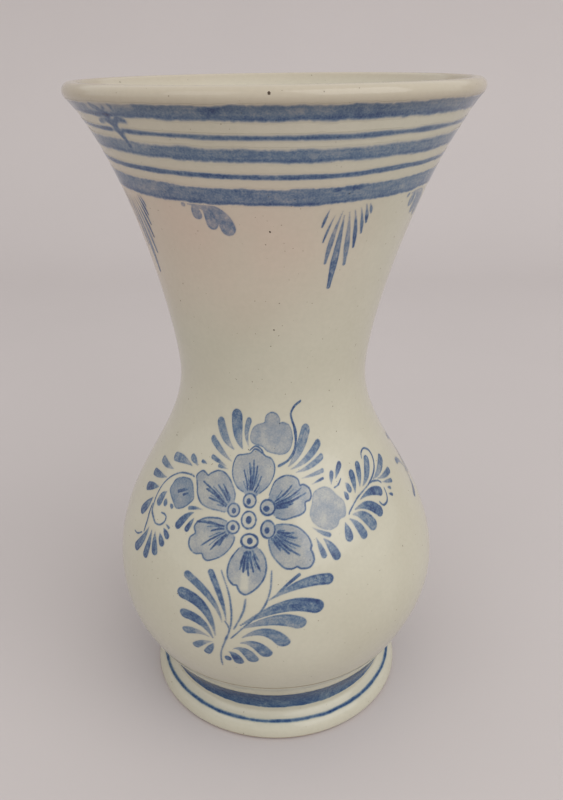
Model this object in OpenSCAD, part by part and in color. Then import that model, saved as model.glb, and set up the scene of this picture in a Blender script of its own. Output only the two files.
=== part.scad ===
// Hand-painted blue-and-white vase: trumpet mouth, narrow neck, round belly, spreading foot.
// Thrown clay sections joined with slip, glazed inside and out, painted with cobalt.
// Millimetres, +Z up, the foot stands on z = 0, the painted bouquet faces -Y.

/* [Clay body] */
// Height from the foot to the crest of the lip
height = 240; // [200:1:300]
// Outer radius of the rolled lip
rim_r = 67.4; // [60:0.1:80]
// Radius of the roll of the lip
lip_roll = 2.7; // [2:0.1:4]
// Slope of the mouth's wall under the lip, degrees from level
flare = 47; // [40:1:60]
// Outer radius of the neck where it is narrowest
neck_r = 34.8; // [28:0.1:42]
// Height of the narrowest place of the neck
neck_z = 140; // [130:1:155]
// Outer radius of the belly
belly_r = 63.8; // [55:0.1:72]
// Height of the widest place of the belly
belly_z = 58.7; // [50:0.1:66]
// Radius of the waist between belly and foot
waist_r = 46.2; // [42:0.1:48]
// Height of that waist
waist_z = 9.8; // [9:0.1:12]
// Outer radius of the foot
foot_r = 52.2; // [51:0.1:56]
// Radius of the edge above the foot's skirt
skirt_r = 49.1; // [47:0.1:50]
// Height of that edge
skirt_z = 7.05; // [6:0.05:8]

/* [Curves] */
// Reach of the curve that leaves the waist
base_pull = 12; // [6:0.5:16]
// Reach of the curve below the widest place
low_pull = 25.4; // [20:0.1:32]
// Reach of the curve above the widest place
high_pull = 31.9; // [22:0.1:38]
// Reach of the curve below the neck
neck_low_pull = 28.5; // [22:0.1:36]
// Reach of the curve above the neck
neck_high_pull = 19.8; // [12:0.1:28]
// Reach of the curve below the lip
mouth_pull = 23.2; // [16:0.1:30]

/* [Walls] */
// Wall at the belly, glaze to glaze
belly_wall = 5; // [4:0.1:7]
// Wall at the neck, glaze to glaze
neck_wall = 5.5; // [4:0.1:7]
// Height of the floor inside
floor_z = 17.5; // [15:0.5:20]
// Flat part of the floor inside, radius
floor_r = 24; // [15:1:30]
// Inner radius of the foot ring where it stands
foot_in_r = 46.8; // [44:0.1:48]
// Inner radius of the foot ring at its top
recess_r = 36; // [30:0.5:38]
// Thickness of the slip that joins two sections
slip = 0.6; // [0.4:0.1:1]

/* [Glaze] */
// Thickness of the glaze on the outside and inside
glaze = 0.5; // [0.3:0.05:0.8]
// Thickness of the glaze in the foot's recess
recess_glaze = 0.4; // [0.3:0.05:0.8]
// Height of the bare clay at the foot's edge
bare_z = 1.2; // [1:0.1:2]

/* [Painted rings] */
// Thickness of a painted layer
paint = 0.12; // [0.08:0.01:0.2]
// Distance of band 1 below the lip's seam
band_1_drop = 0.3; // [0.2:0.1:1]
// Width of band 1
band_1_wide = 2.9; // [2:0.1:4]
// Distance of line 2 below the lip's seam
band_2_drop = 6.1; // [5:0.1:7]
// Width of line 2
band_2_wide = 1.1; // [0.8:0.1:1.8]
// Distance of band 3 below the lip's seam
band_3_drop = 9.3; // [9:0.1:11]
// Width of band 3
band_3_wide = 3.7; // [2:0.1:4.5]
// Distance of line 4 below the lip's seam
band_4_drop = 16.2; // [15.5:0.1:18]
// Width of line 4
band_4_wide = 1.7; // [0.8:0.1:2]
// Distance of band 5 below the lip's seam
band_5_drop = 20.6; // [20:0.1:23]
// Width of band 5
band_5_wide = 5.1; // [4:0.1:7]
// Distance of the foot's band above the waist
foot_band_rise = 1.7; // [1:0.1:3]
// Height of the foot's band
foot_band_wide = 11.9; // [8:0.1:16]
// Distance of the foot line's top above the skirt's edge
foot_line_rise = 0.4; // [0:0.1:0.6]
// Height of the foot's line
foot_line_wide = 0.8; // [0.6:0.1:1.2]
// Distance of the brown hairline above the waist
hairline_rise = 22.4; // [20.5:0.1:26]
// Height of the brown hairline
hairline_wide = 0.4; // [0.3:0.1:0.8]

/* [Painted bouquet] */
// Height of the middle of the flower
flower_z = 100.8; // [92:0.1:108]
// Width of the outline of petals and buds
outline_wide = 0.6; // [0.4:0.1:1]

/* [Hidden] */
$fn = 96;
flare_dir = [cos(flare), sin(flare)];
lip_c = [rim_r - lip_roll, height - lip_roll];
// Where the mouth's wall ends and the lip begins, and the wall's thickness there
brim = lip_c + lip_roll * [cos(flare - 90), sin(flare - 90)];
mouth_wall = 2 * lip_roll;
belly_in = belly_r - belly_wall;
tiny = 0.001;

// Distance that keeps a painted layer just clear of the glaze's flats
lift = 0.05;
// Height of one flat of a painted ring
ring_step = 0.7;
// Radius at which sideways distances of the painting are counted, and the height at
// which the middle of the flower was read
art_r = 50.8;
art_z = 100;
// Angles from the front to the feathers and to the scroll leaves of the neck
feather_turns = [23.7, 114, 204, 295];
leaf_turns = [-23, 59.8, 157, 248];

// Pulls of the small curves of the foot and of the floor
toe_pull = 2;
skirt_pull = [2, -1.1];
cove_share = 0.6;
waist_pull = 1.2;
recess_edge = 1;
recess_pull = [-2.3, 4.3];
ceiling_pull = [2.5, -2.2];
floor_pull = 20;
well_pull = 20;
// Rounded corners of the foot where it stands, outside and inside
toe = [[foot_r - 1.6, 0], [foot_r - 0.8, 0.35]];
heel = [foot_in_r - 0.8, 0.4];

// Curves of the outside, each [start, pull, pull, end], going up
skirt = [skirt_r, skirt_z];
waist = [waist_r, waist_z];
neck_at = [neck_r, neck_z];
belly_at = [belly_r, belly_z];
up = [0, 1];
skirt_c = [[foot_r, bare_z], [foot_r, bare_z] + toe_pull * up, skirt + skirt_pull, skirt];
cove_c = [skirt, skirt - cove_share * skirt_pull, waist - waist_pull * up, waist];
base_c = [waist, waist + base_pull * up, belly_at - low_pull * up, belly_at];
shoulder_c = [belly_at, belly_at + high_pull * up, neck_at - neck_low_pull * up, neck_at];
mouth_c = [neck_at, neck_at + neck_high_pull * up, brim - mouth_pull * flare_dir, brim];
// Curve of the inside below the widest place, and of the foot's recess
well_c = [[floor_r, floor_z], [floor_r + floor_pull, floor_z],
          [belly_in, floor_z + well_pull], [belly_in, belly_z]];
recess_low = [foot_in_r - recess_edge, bare_z];
recess_top = [recess_r, waist_z - slip];
recess_c = [recess_low, recess_low + recess_pull, recess_top + ceiling_pull, recess_top];

// Where the seams cut the curves
cove_end = 1 - slip / (3 * waist_pull);
neck_cut_low = 1 - slip / 2 / (3 * neck_low_pull);
neck_cut_high = slip / 2 / (3 * neck_high_pull);
lip_cut = 1 - slip / (3 * mouth_pull);

function bez(c, t) = c[0] * pow(1 - t, 3) + 3 * c[1] * t * pow(1 - t, 2)
    + 3 * c[2] * t * t * (1 - t) + c[3] * pow(t, 3);
function slope(c, t) = (c[1] - c[0]) * pow(1 - t, 2) + 2 * (c[2] - c[1]) * t * (1 - t)
    + (c[3] - c[2]) * t * t;
// Point at t on curve c, moved by d towards the clay
function sunk(c, t, d) = let (v = slope(c, t)) bez(c, t) - d * [v[1], -v[0]] / norm(v);
// Stretch of curve c from t0 to t1 in n steps, sunk by d0 to d1
function run(c, t0, t1, n, d0, d1) =
    [for (i = [0:n]) let (t = t0 + (t1 - t0) * i / n) sunk(c, t, d0 + (d1 - d0) * t)];
function back(l) = [for (i = [len(l) - 1:-1:0]) l[i]];
function arc(c, r, a0, a1, n) =
    [for (i = [0:n]) let (a = a0 + (a1 - a0) * i / n) c + r * [cos(a), sin(a)]];

// Steps in which each curve is drawn
skirt_steps = 6;
cove_steps = 8;
base_steps = 20;
shoulder_steps = 24;
mouth_steps = 26;
well_steps = 16;
lip_steps = 16;
roll_steps = 6;

// Stretches of the outside at depth d
function cove(d) = run(cove_c, cove_end / cove_steps, cove_end, cove_steps - 1, d, d);
function skirting(d) = run(skirt_c, 0, 1, skirt_steps, d, d);
function base(d) = run(base_c, 0, 1, base_steps, d, d);
function shoulder(d) = run(shoulder_c, 0, neck_cut_low, shoulder_steps, d, d);
function mouth(d) = run(mouth_c, neck_cut_high, lip_cut, mouth_steps, d, d);
function outside(d) = concat(skirting(d), cove(d), base(d), shoulder(d), mouth(d));

// Stretches of the inside at depth d below the inner face
function mouth_in(d) =
    run(mouth_c, neck_cut_high, lip_cut, mouth_steps, neck_wall - d, mouth_wall - d);
function shoulder_in(d) =
    run(shoulder_c, 0, neck_cut_low, shoulder_steps, belly_wall - d, neck_wall - d);
function well(d) = run(well_c, 0, 1, well_steps, -d, -d);

// The lip's roll between two angles at depth d
function roll(d, a0, a1, n) = arc(lip_c, lip_roll - d, a0, a1, n);
roll_start = flare - 90;
roll_end = flare + 90;

// ---- Clay -------------------------------------------------------------------

module foot_ring() {
    color("tan")
    rotate_extrude()
    polygon(concat([[foot_in_r, 0]], toe, skirting(glaze), cove(glaze),
                   back(run(recess_c, 0, 1, 8, 0, 0)), [heel]));
}

module belly() {
    color("tan")
    rotate_extrude()
    polygon(concat([[0, waist_z]], base(glaze), shoulder(glaze),
                   back(shoulder_in(glaze)), back(well(glaze)), [[0, floor_z - glaze]]));
}

module neck() {
    color("tan")
    rotate_extrude()
    polygon(concat(mouth(glaze), back(mouth_in(glaze))));
}

module rolled_lip() {
    color("tan")
    rotate_extrude()
    polygon(roll(glaze, roll_start, roll_end, lip_steps + roll_steps));
}

// ---- Slip seams -------------------------------------------------------------

module foot_seam_slip() {
    color("peru")
    rotate_extrude()
    polygon([recess_top, sunk(cove_c, cove_end, glaze), base(glaze)[0],
             [recess_r, waist_z]]);
}

module neck_seam_slip() {
    color("peru")
    rotate_extrude()
    polygon([sunk(shoulder_c, neck_cut_low, glaze), sunk(mouth_c, neck_cut_high, glaze),
             mouth_in(glaze)[0], shoulder_in(glaze)[shoulder_steps]]);
}

module lip_seam_slip() {
    color("peru")
    rotate_extrude()
    polygon([sunk(mouth_c, lip_cut, glaze), sunk(mouth_c, 1, glaze),
             sunk(mouth_c, 1, mouth_wall - glaze), mouth_in(glaze)[mouth_steps]]);
}

// ---- Glaze ------------------------------------------------------------------

module outer_glaze() {
    color("ivory")
    rotate_extrude()
    polygon(concat(outside(0), roll(0, roll_start, 90, lip_steps),
                   back(roll(glaze, roll_start, 90, lip_steps)), back(outside(glaze))));
}

module inner_glaze() {
    color("ivory")
    rotate_extrude()
    polygon(concat([[0, floor_z - glaze]], well(glaze), shoulder_in(glaze),
                   mouth_in(glaze), back(roll(glaze, 90, roll_end, roll_steps)),
                   roll(0, 90, roll_end, roll_steps),
                   back(mouth_in(0)), back(shoulder_in(0)), back(well(0)),
                   [[0, floor_z]]));
}

module foot_recess_glaze() {
    color("ivory")
    rotate_extrude()
    polygon(concat([[0, waist_z], [recess_r, waist_z]],
                   back(run(recess_c, 0.1, 1, 8, 0, 0)),
                   run(recess_c, 0.1, 1, 8, recess_glaze, recess_glaze),
                   [[0, waist_z - recess_glaze]]));
}

// ---- Painted rings ----------------------------------------------------------

// Radius and outward direction of the outside at height z
brim_ahead = 2;
probe = 0.4;
face = [for (p = concat(outside(0), [brim, brim + brim_ahead * flare_dir])) [p[1], p[0]]];
function face_r(z) = lookup(z, face);
function face_n(z) = let (s = (face_r(z + probe) - face_r(z - probe)) / (2 * probe))
    [1, -s] / sqrt(1 + s * s);
function above(z, h) = [face_r(z), z] + h * face_n(z);

module ring(top, wide, thick) {
    steps = max(3, ceil(wide / ring_step));
    rotate_extrude()
    polygon(concat(
        [for (i = [0:steps]) above(top - wide + wide * i / steps, lift / 2)],
        [for (i = [steps:-1:0]) above(top - wide + wide * i / steps, lift / 2 + thick)]));
}

module rim_band() {
    color("slategray")
    ring(brim[1] - band_1_drop, band_1_wide, paint);
}

module rim_line() {
    color("slategray")
    ring(brim[1] - band_2_drop, band_2_wide, paint);
}

module mouth_band() {
    color("slategray")
    ring(brim[1] - band_3_drop, band_3_wide, paint);
}

module mouth_line() {
    color("slategray")
    ring(brim[1] - band_4_drop, band_4_wide, paint);
}

module neck_band() {
    color("slategray")
    ring(brim[1] - band_5_drop, band_5_wide, paint);
}

module foot_band() {
    color("slategray")
    ring(waist_z + foot_band_rise + foot_band_wide, foot_band_wide, paint);
}

module foot_line() {
    color("slategray")
    ring(skirt_z + foot_line_rise, foot_line_wide, paint);
}

module base_hairline() {
    color("sienna")
    ring(waist_z + hairline_rise + hairline_wide, hairline_wide, paint / 2);
}

// ---- Painted strokes --------------------------------------------------------
// A place is [sideways, up] in millimetres: sideways around the vase at radius art_r,
// up from the foot. A stroke is [width, root, bend, tip] and swells from its thin root to
// a round tip. A line is [width, [places]].

function on_face(p, h) = let (z = p[1], n = face_n(z), r = face_r(z) + n[0] * h,
                              w = p[0] / art_r * 180 / PI)
    [r * sin(w), -r * cos(w), z + n[1] * h];
function mid3(a, b, c, t) = a * (1 - t) * (1 - t) + 2 * b * t * (1 - t) + c * t * t;
function unit(v) = v / max(norm(v), tiny);
function side(v) = [-v[1], v[0]];
// Width of a stroke along its length, as a share of its full width: at its root, where
// it is widest, and at the least towards its tip
root_share = 0.16;
full_at = 0.72;
tip_share = 0.3;
function swell(t) = t < full_at ? root_share + (1 - root_share) * sin(90 * t / full_at)
    : max(tip_share, sqrt(1 - pow((t - full_at) / (1 - full_at), 2)));
function smooth_at(p, i, t, n) = let (a = p[max(0, i - 1)], b = p[i],
                                      c = p[min(n, i + 1)], d = p[min(n, i + 2)])
    b + 0.5 * t * ((c - a) + t * ((2 * a - 5 * b + 4 * c - d)
                                  + t * (3 * b - 3 * c + d - a)));
function smooth_loop(p) = let (n = len(p))
    [for (i = [0:n - 1], k = [0, 0.5])
        let (a = p[(i + n - 1) % n], b = p[i], c = p[(i + 1) % n], d = p[(i + 2) % n])
        b + 0.5 * k * ((c - a) + k * ((2 * a - 5 * b + 4 * c - d)
                                      + k * (3 * b - 3 * c + d - a)))];
function moved(p, s) = [for (q = p) q + s];

// Strokes shorter than this are drawn in few steps
short_stroke = 6.5;
few_steps = 4;
many_steps = 7;
line_end_share = 0.5;

// Heights above the glaze of the washes, and of the lines on top of them
wash_low = lift;
wash_top = lift + paint;
line_low = wash_top + 0.01;
line_top = line_low + paint;

// Strip of paint between two lists of places, closed at both ends
module strip(left, right, low, top) {
    n = len(left) - 1;
    v = [for (i = [0:n]) each [on_face(left[i], low), on_face(right[i], low),
                               on_face(right[i], top), on_face(left[i], top)]];
    walls = [for (i = [0:n - 1], k = [0:3]) let (a = 4 * i + k, b = 4 * i + (k + 1) % 4)
             each [[a, b, b + 4], [a, b + 4, a + 4]]];
    polyhedron(v, concat(walls, [[3, 2, 1], [3, 1, 0]],
                         [[4 * n, 4 * n + 1, 4 * n + 2], [4 * n, 4 * n + 2, 4 * n + 3]]));
}

// Ribbon of paint that closes on itself
module hoop(p, wide, low, top) {
    n = len(p);
    sides = [for (i = [0:n - 1]) side(unit(p[(i + 1) % n] - p[(i + n - 1) % n])) * wide / 2];
    v = [for (i = [0:n - 1]) each [on_face(p[i] + sides[i], low),
                                   on_face(p[i] - sides[i], low),
                                   on_face(p[i] - sides[i], top),
                                   on_face(p[i] + sides[i], top)]];
    polyhedron(v, [for (i = [0:n - 1], k = [0:3])
                   let (a = 4 * i + k, b = 4 * i + (k + 1) % 4,
                        c = (b + 4) % (4 * n), d = (a + 4) % (4 * n))
                   each [[a, b, c], [a, c, d]]]);
}

// The loop, turned round if needed so that it runs against the clock
function area(p) = let (n = len(p))
    [for (i = [0:n - 1]) cross(p[i], p[(i + 1) % n])] * [for (i = [0:n - 1]) 1] / 2;
function loop(p) = area(p) < 0 ? back(p) : p;

// Patch of paint inside a loop of places
module patch(places, low, top) {
    p = loop(places);
    n = len(p);
    mid = [for (k = [0, 1]) (max([for (q = p) q[k]]) + min([for (q = p) q[k]])) / 2];
    half = [for (q = p) (q + mid) / 2];
    v = concat([on_face(mid, low), on_face(mid, top)],
               [for (q = half) on_face(q, low)], [for (q = p) on_face(q, low)],
               [for (q = half) on_face(q, top)], [for (q = p) on_face(q, top)]);
    a = 2;
    b = 2 + n;
    c = 2 + 2 * n;
    d = 2 + 3 * n;
    polyhedron(v, [for (i = [0:n - 1]) let (j = (i + 1) % n) each [
        [0, a + i, a + j], [a + i, b + i, b + j], [a + i, b + j, a + j],
        [1, c + j, c + i], [c + i, d + j, d + i], [c + i, c + j, d + j],
        [b + i, d + i, d + j], [b + i, d + j, b + j]]]);
}

module stroke(wide, root, bend, tip) {
    n = norm(tip - root) < short_stroke ? few_steps : many_steps;
    q = [for (i = [0:n]) mid3(root, bend, tip, i / n)];
    w = [for (i = [0:n]) let (t = i / n)
         side(unit((bend - root) * (1 - t) + (tip - bend) * t)) * wide / 2 * swell(t)];
    strip([for (i = [0:n]) q[i] + w[i]], [for (i = [0:n]) q[i] - w[i]],
          line_low, line_top);
}

module line(s) {
    n = len(s[1]) - 1;
    q = [for (i = [0:n]) each (i < n
         ? [s[1][i], smooth_at(s[1], i, 0.5, n)] : [s[1][n]])];
    m = len(q) - 1;
    w = [for (i = [0:m]) side(unit(q[min(m, i + 1)] - q[max(0, i - 1)])) * s[0] / 2
         * (i == 0 || i == m ? line_end_share : 1)];
    strip([for (i = [0:m]) q[i] + w[i]], [for (i = [0:m]) q[i] - w[i]],
          line_low, line_top);
}

// Strokes and lines of a list, all moved by d
module strokes(list, d) {
    for (s = list) {
        stroke(s[0], s[1] + d, s[2] + d, s[3] + d);
    }
}

module lines(list, d) {
    for (s = list) {
        line([s[0], moved(s[1], d)]);
    }
}

// Outlines of the flower's six petals, around its middle at [-9.5, 100]
petals = [
    [[-13, 109], [-16, 110.5], [-18.3, 113.5], [-18.8, 117], [-17.5, 120], [-14.5, 120.8],
     [-11.5, 121.5], [-9.5, 123], [-6.5, 122], [-4.5, 120.8], [-2, 120], [-0.5, 117.5],
     [-1, 114.5], [-3.2, 111.3], [-6.5, 109]],
    [[-2.6, 108.5], [-0.8, 112.2], [1.5, 113.8], [4.5, 114.5], [7.5, 114], [9.3, 112.8],
     [9.8, 111.2], [11.5, 111.1], [13.5, 109.8], [14, 107.7], [13.2, 106.3], [11.3, 105.7],
     [11, 103.5], [9.3, 102.3], [6, 101.6], [3, 101.1], [0, 101.8]],
    [[0.2, 99.6], [3, 99.7], [6.5, 99], [9, 97.5], [11, 95.2], [11.8, 92.8], [11.4, 91.3],
     [11.9, 90], [12, 87.8], [10.5, 86], [8, 85.8], [6.5, 86.5], [5, 86], [2.8, 86.3],
     [0.8, 88], [-1.2, 90.5], [-2.2, 93], [-2.5, 95]],
    [[-12, 92], [-13.5, 90], [-14.7, 87.5], [-15.1, 84.5], [-14.6, 82], [-13, 80.2],
     [-11.8, 80], [-10.8, 78.2], [-9.2, 77.3], [-7.5, 78.2], [-5.5, 80.2], [-4, 82.5],
     [-3.2, 85], [-3.1, 87.5], [-3.8, 90], [-5.3, 92]],
    [[-17.7, 99.3], [-20, 99.7], [-23, 99.5], [-26, 98.7], [-28.5, 97], [-29.5, 95],
     [-28.5, 93.3], [-30, 91.5], [-30, 89.5], [-28.8, 87.8], [-26.8, 87.1], [-24.5, 87.7],
     [-23.5, 86.5], [-21.8, 86.2], [-18, 88.3], [-15.5, 91], [-14.3, 93.5], [-14.1, 95]],
    [[-16, 106.3], [-16.3, 108.3], [-18, 110.8], [-20, 112.8], [-22.5, 114], [-25.5, 114],
     [-28.5, 112.5], [-29.5, 111.7], [-32.5, 112.5], [-34.9, 110.5], [-34.2, 109],
     [-33, 107], [-32, 105], [-29.5, 102.8], [-26, 102], [-22, 102], [-19, 102]]];

petal_veins = [
    [0.8, [-12.4, 111.5], [-12.9, 113], [-13.3, 114.8]],
    [0.9, [-11.2, 112], [-11.4, 114.5], [-11.3, 117]],
    [0.9, [-10.2, 112.5], [-10, 115], [-9.7, 118]],
    [0.9, [-9.1, 111.5], [-8.7, 114], [-8.2, 116.3]],
    [0.7, [-6.9, 111.5], [-6.6, 112.4], [-6.5, 113.4]],
    [1.0, [-0.5, 109], [2.5, 110.2], [5.5, 110.6]],
    [1.2, [3, 109], [6, 109.8], [8.8, 109.6]],
    [0.9, [2.5, 108], [6.5, 108.4], [10.5, 108.2]],
    [0.9, [2, 106.8], [5, 107.1], [7.5, 107]],
    [0.8, [1.5, 105.8], [3.5, 105.9], [5.5, 105.7]],
    [0.8, [0.6, 104.7], [2, 104.8], [3.6, 104.8]],
    [0.8, [1, 97.4], [3, 97.5], [5.2, 97]],
    [0.9, [2, 96.3], [4, 96.3], [6, 95.6]],
    [0.9, [3, 95.2], [5.2, 94.5], [6.8, 93.2]],
    [1.3, [2, 94.8], [4.8, 93], [6.5, 90.8]],
    [0.9, [0.5, 94.2], [2.2, 93], [3.5, 91.5]],
    [0.8, [-0.3, 94.2], [0.5, 93.4], [1, 92.5]],
    [0.8, [-10.3, 88.8], [-10.9, 87.5], [-11, 86.3]],
    [0.8, [-9.5, 88.6], [-10, 87], [-10, 85.6]],
    [0.8, [-8.6, 88.8], [-8.7, 86.8], [-8.5, 84.8]],
    [0.8, [-7.6, 88.5], [-7.3, 87.2], [-7.2, 86]],
    [0.8, [-6.2, 89], [-5.6, 87.6], [-5.2, 86.3]],
    [0.8, [-25, 93.6], [-23.5, 95], [-22, 95.7]],
    [1.1, [-20, 96.5], [-22.5, 94.5], [-24.2, 91]],
    [0.9, [-19.5, 94.2], [-20.5, 92.5], [-21, 90.6]],
    [0.9, [-18, 95], [-18.6, 93.8], [-18.6, 92.3]],
    [1.2, [-19, 98.1], [-23.5, 98.3], [-27.5, 97]],
    [1.0, [-22, 106], [-26, 107], [-29.2, 108.7]],
    [0.9, [-20, 105], [-23.5, 106.5], [-27.2, 107]],
    [0.9, [-19.8, 103.9], [-22.5, 105], [-25.5, 104.9]],
    [0.9, [-19.5, 107.3], [-21, 108.6], [-23, 109]],
    [0.8, [-18.6, 107.5], [-19.6, 108.8], [-21, 109.5]]];

// Rings of the flower's middle, each [width, half width, half height, middle], and dots
centre_rings = [
    [0.5, 2.6, 2.6, [-9.8, 100.7]], [0.8, 2.4, 2.1, [-10.1, 106.6]],
    [1.0, 2.7, 2.3, [-3.1, 104.8]], [0.8, 2.4, 2.6, [-2.8, 98.2]],
    [1.0, 2.8, 2.1, [-8.9, 94.4]], [0.8, 2.2, 1.9, [-15.2, 97.9]],
    [0.8, 2.2, 2.0, [-15.8, 103.1]]];
centre_dots = [
    [1.1, 1.1, [-9.8, 100.7]], [0.9, 0.9, [-10.5, 106.3]], [1.3, 0.8, [-3.6, 104.4]],
    [0.9, 0.9, [-3.1, 97.9]], [1.0, 0.9, [-8.8, 94.4]], [0.9, 0.8, [-15.2, 97.8]],
    [0.9, 0.8, [-15.7, 102.9]]];

buds = [
    [[-9.6, 124.6], [-11.8, 126], [-11.5, 129], [-9.5, 131], [-6, 132], [-5.3, 132.5],
     [-4.5, 134.8], [-2, 136], [0.5, 135.3], [2, 133.5], [2, 132.2], [4, 132.2],
     [6.5, 131], [7.8, 128.5], [7.9, 126], [6.8, 123.4], [4.8, 121.8], [1.9, 121.4],
     [-1, 121.9], [-3.8, 122.5], [-6.2, 124]],
    [[14.8, 107.5], [16.2, 108.6], [19.5, 109.2], [22.3, 108.3], [24.5, 106],
     [26.8, 103.5], [27, 101], [26, 99], [23.5, 98.4], [22, 96.8], [19, 96.2],
     [16.5, 97], [14, 98.8], [12.8, 101], [12.9, 103], [14, 105]],
    [[-44.8, 106], [-42, 107.6], [-38, 108.3], [-36, 107.5], [-34.4, 105.4],
     [-33.2, 103.2], [-34.2, 101.5], [-36, 99.6], [-38, 98.4], [-40, 98],
     [-42.5, 99.5], [-45, 101], [-46.2, 102.2], [-45.8, 104]]];

bud_strokes = [
    [1.3, [-35.5, 105.5], [-39, 104.5], [-41.8, 102.8]],
    [0.9, [-36, 104], [-37.2, 103.7], [-38.6, 102.7]]];

upper_leaves = [
    [4.2, [-19.5, 122], [-26, 125], [-28.5, 132]],
    [5.5, [-15.5, 122.8], [-19.5, 127], [-19.3, 136]],
    [2.6, [-12.4, 123.5], [-15.5, 128], [-12.6, 133.5]],
    [2.6, [-20, 118], [-26, 120.5], [-32, 124.5]],
    [1.6, [-22, 116], [-26, 117.2], [-30, 118]],
    [1.1, [-21, 115.2], [-23.5, 115.6], [-25.8, 115.6]],
    [4.4, [5.6, 117.4], [11, 121], [15.5, 130.5]],
    [3.0, [6.6, 116.4], [15, 118.5], [21.5, 124.5]],
    [2.2, [8.6, 115.2], [15, 116], [22, 119.3]],
    [1.4, [11, 113.2], [16, 113.7], [21.3, 114.5]],
    [0.8, [15, 110.8], [17.8, 111.6], [20.5, 112]]];
upper_lines = [
    [1.2, [[12.5, 139.6], [9.5, 138], [7.6, 135.5], [8, 133], [9.2, 130], [9.6, 126.5],
           [8.7, 122.5], [5.6, 119.4], [1.2, 117.6]]],
    [0.7, [[-12, 122.3], [-9.5, 123.9], [-7, 123.2], [-5.6, 121.9]]]];

left_scroll = [
    [0.9, [[-36, 109.6], [-38, 109.8], [-43, 108.9], [-47, 106.8], [-50, 104],
           [-51.7, 101], [-52.3, 97.5], [-52, 94.5], [-51.2, 92], [-49, 90.5],
           [-47, 89.5], [-44.5, 90], [-42.8, 91.8], [-42.8, 93.5], [-44, 94],
           [-45.8, 93.8]]],
    [0.8, [[-52.6, 94], [-52.4, 91], [-51.8, 88], [-51.5, 84]]],
    [0.7, [[-52.5, 83], [-55, 81], [-57.5, 80.5]]]];
left_leaves = [
    [3.2, [-47.4, 100.5], [-49.6, 98.5], [-49.2, 95]],
    [2.0, [-46, 98.6], [-46.3, 97.4], [-45, 96.6]],
    [1.3, [-43.2, 98], [-42.3, 97.8], [-41.3, 97.2]],
    [3.0, [-49.5, 86.5], [-49.8, 82], [-53.8, 75.8]],
    [2.6, [-47.5, 86.5], [-46.5, 82], [-47.3, 76.2]],
    [2.8, [-45.5, 86.8], [-44.3, 83.5], [-42.5, 79.8]],
    [2.4, [-43, 87.6], [-41.8, 86], [-40.2, 84.3]],
    [2.0, [-42, 89.8], [-40.5, 89], [-38.8, 87.6]],
    [0.8, [-42, 91.5], [-40.8, 91.3], [-39.5, 90.8]],
    [2.6, [-31.4, 99], [-34.5, 97.4], [-36.8, 92.3]],
    [1.8, [-30.6, 97.4], [-31.4, 95.6], [-32.6, 92.6]],
    [1.2, [-28, 100.9], [-31.5, 100.8], [-34.2, 99.7]],
    [3.2, [-39, 112.5], [-45, 113.6], [-52, 111.8]],
    [2.4, [-36, 113.4], [-38.5, 115], [-41, 115.4]],
    [1.1, [-31.5, 115], [-33, 115.4], [-34.5, 115.3]],
    [2.6, [-49, 108.2], [-54, 107.5], [-60, 108]],
    [2.6, [-51.2, 104.3], [-56, 103], [-62, 102]],
    [3.0, [-53.4, 99.8], [-57, 98.5], [-62, 96]],
    [3.6, [-54, 95.5], [-55.5, 92], [-58, 88]]];

right_leaves = [
    [1.9, [23.4, 109.5], [24, 112], [25, 113.5]],
    [2.2, [26, 110.9], [27.5, 113], [30, 115.3]],
    [2.2, [29.9, 108.4], [31, 107.2], [31.2, 105.2]],
    [1.8, [28.2, 106], [29.2, 105], [29, 103.3]],
    [2.9, [33.3, 104.5], [34.6, 108], [34.3, 111.6]],
    [2.8, [36.5, 105.5], [38.2, 108.5], [39.5, 113.2]],
    [3.4, [38, 105.2], [43.5, 107.3], [46.3, 113]],
    [3.2, [45, 105.3], [52, 105.5], [57.5, 109.5]],
    [2.2, [48, 104.4], [53, 103], [59.3, 103.4]],
    [1.4, [50, 102.3], [53, 101.3], [57, 100]],
    [1.0, [51.3, 99.8], [52.4, 99.3], [53.6, 98.6]],
    [1.0, [50.5, 97.8], [51.6, 97.2], [52.8, 96.5]],
    [3.0, [34.8, 101.8], [42, 103.6], [47.3, 99.8]],
    [3.6, [31, 99.6], [38.5, 100.6], [42.6, 94]],
    [4.0, [29.5, 98.4], [35, 97.5], [37, 91.4]],
    [3.0, [27.6, 97.4], [30.8, 95], [31.8, 90]],
    [2.9, [25.4, 96.8], [25.8, 94], [25.6, 91]],
    [1.4, [12.9, 97.8], [16, 95.6], [19, 94.4]],
    [1.9, [13.7, 94.5], [15, 91], [15.8, 88]],
    [2.9, [16.3, 93.8], [18.6, 91.5], [20.2, 86.6]]];
right_lines = [
    [0.7, [[24.4, 108.2], [26.4, 108.7], [28.3, 110.2]]],
    [0.9, [[43, 113.3], [44, 115], [46.5, 115.7], [49.5, 114.3], [50.7, 112],
           [50, 109.5], [48, 107.5], [45, 106], [41, 104.6]]],
    [0.8, [[43.5, 97.8], [44.8, 96.2], [47.5, 96.3], [49, 98], [49.3, 100.5]]],
    [0.7, [[27.8, 98.9], [29, 100], [34, 102.8], [42, 104.8]]],
    [0.8, [[42, 104.9], [44, 104.8], [47.5, 103.8], [49, 102.5]]]];

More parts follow.
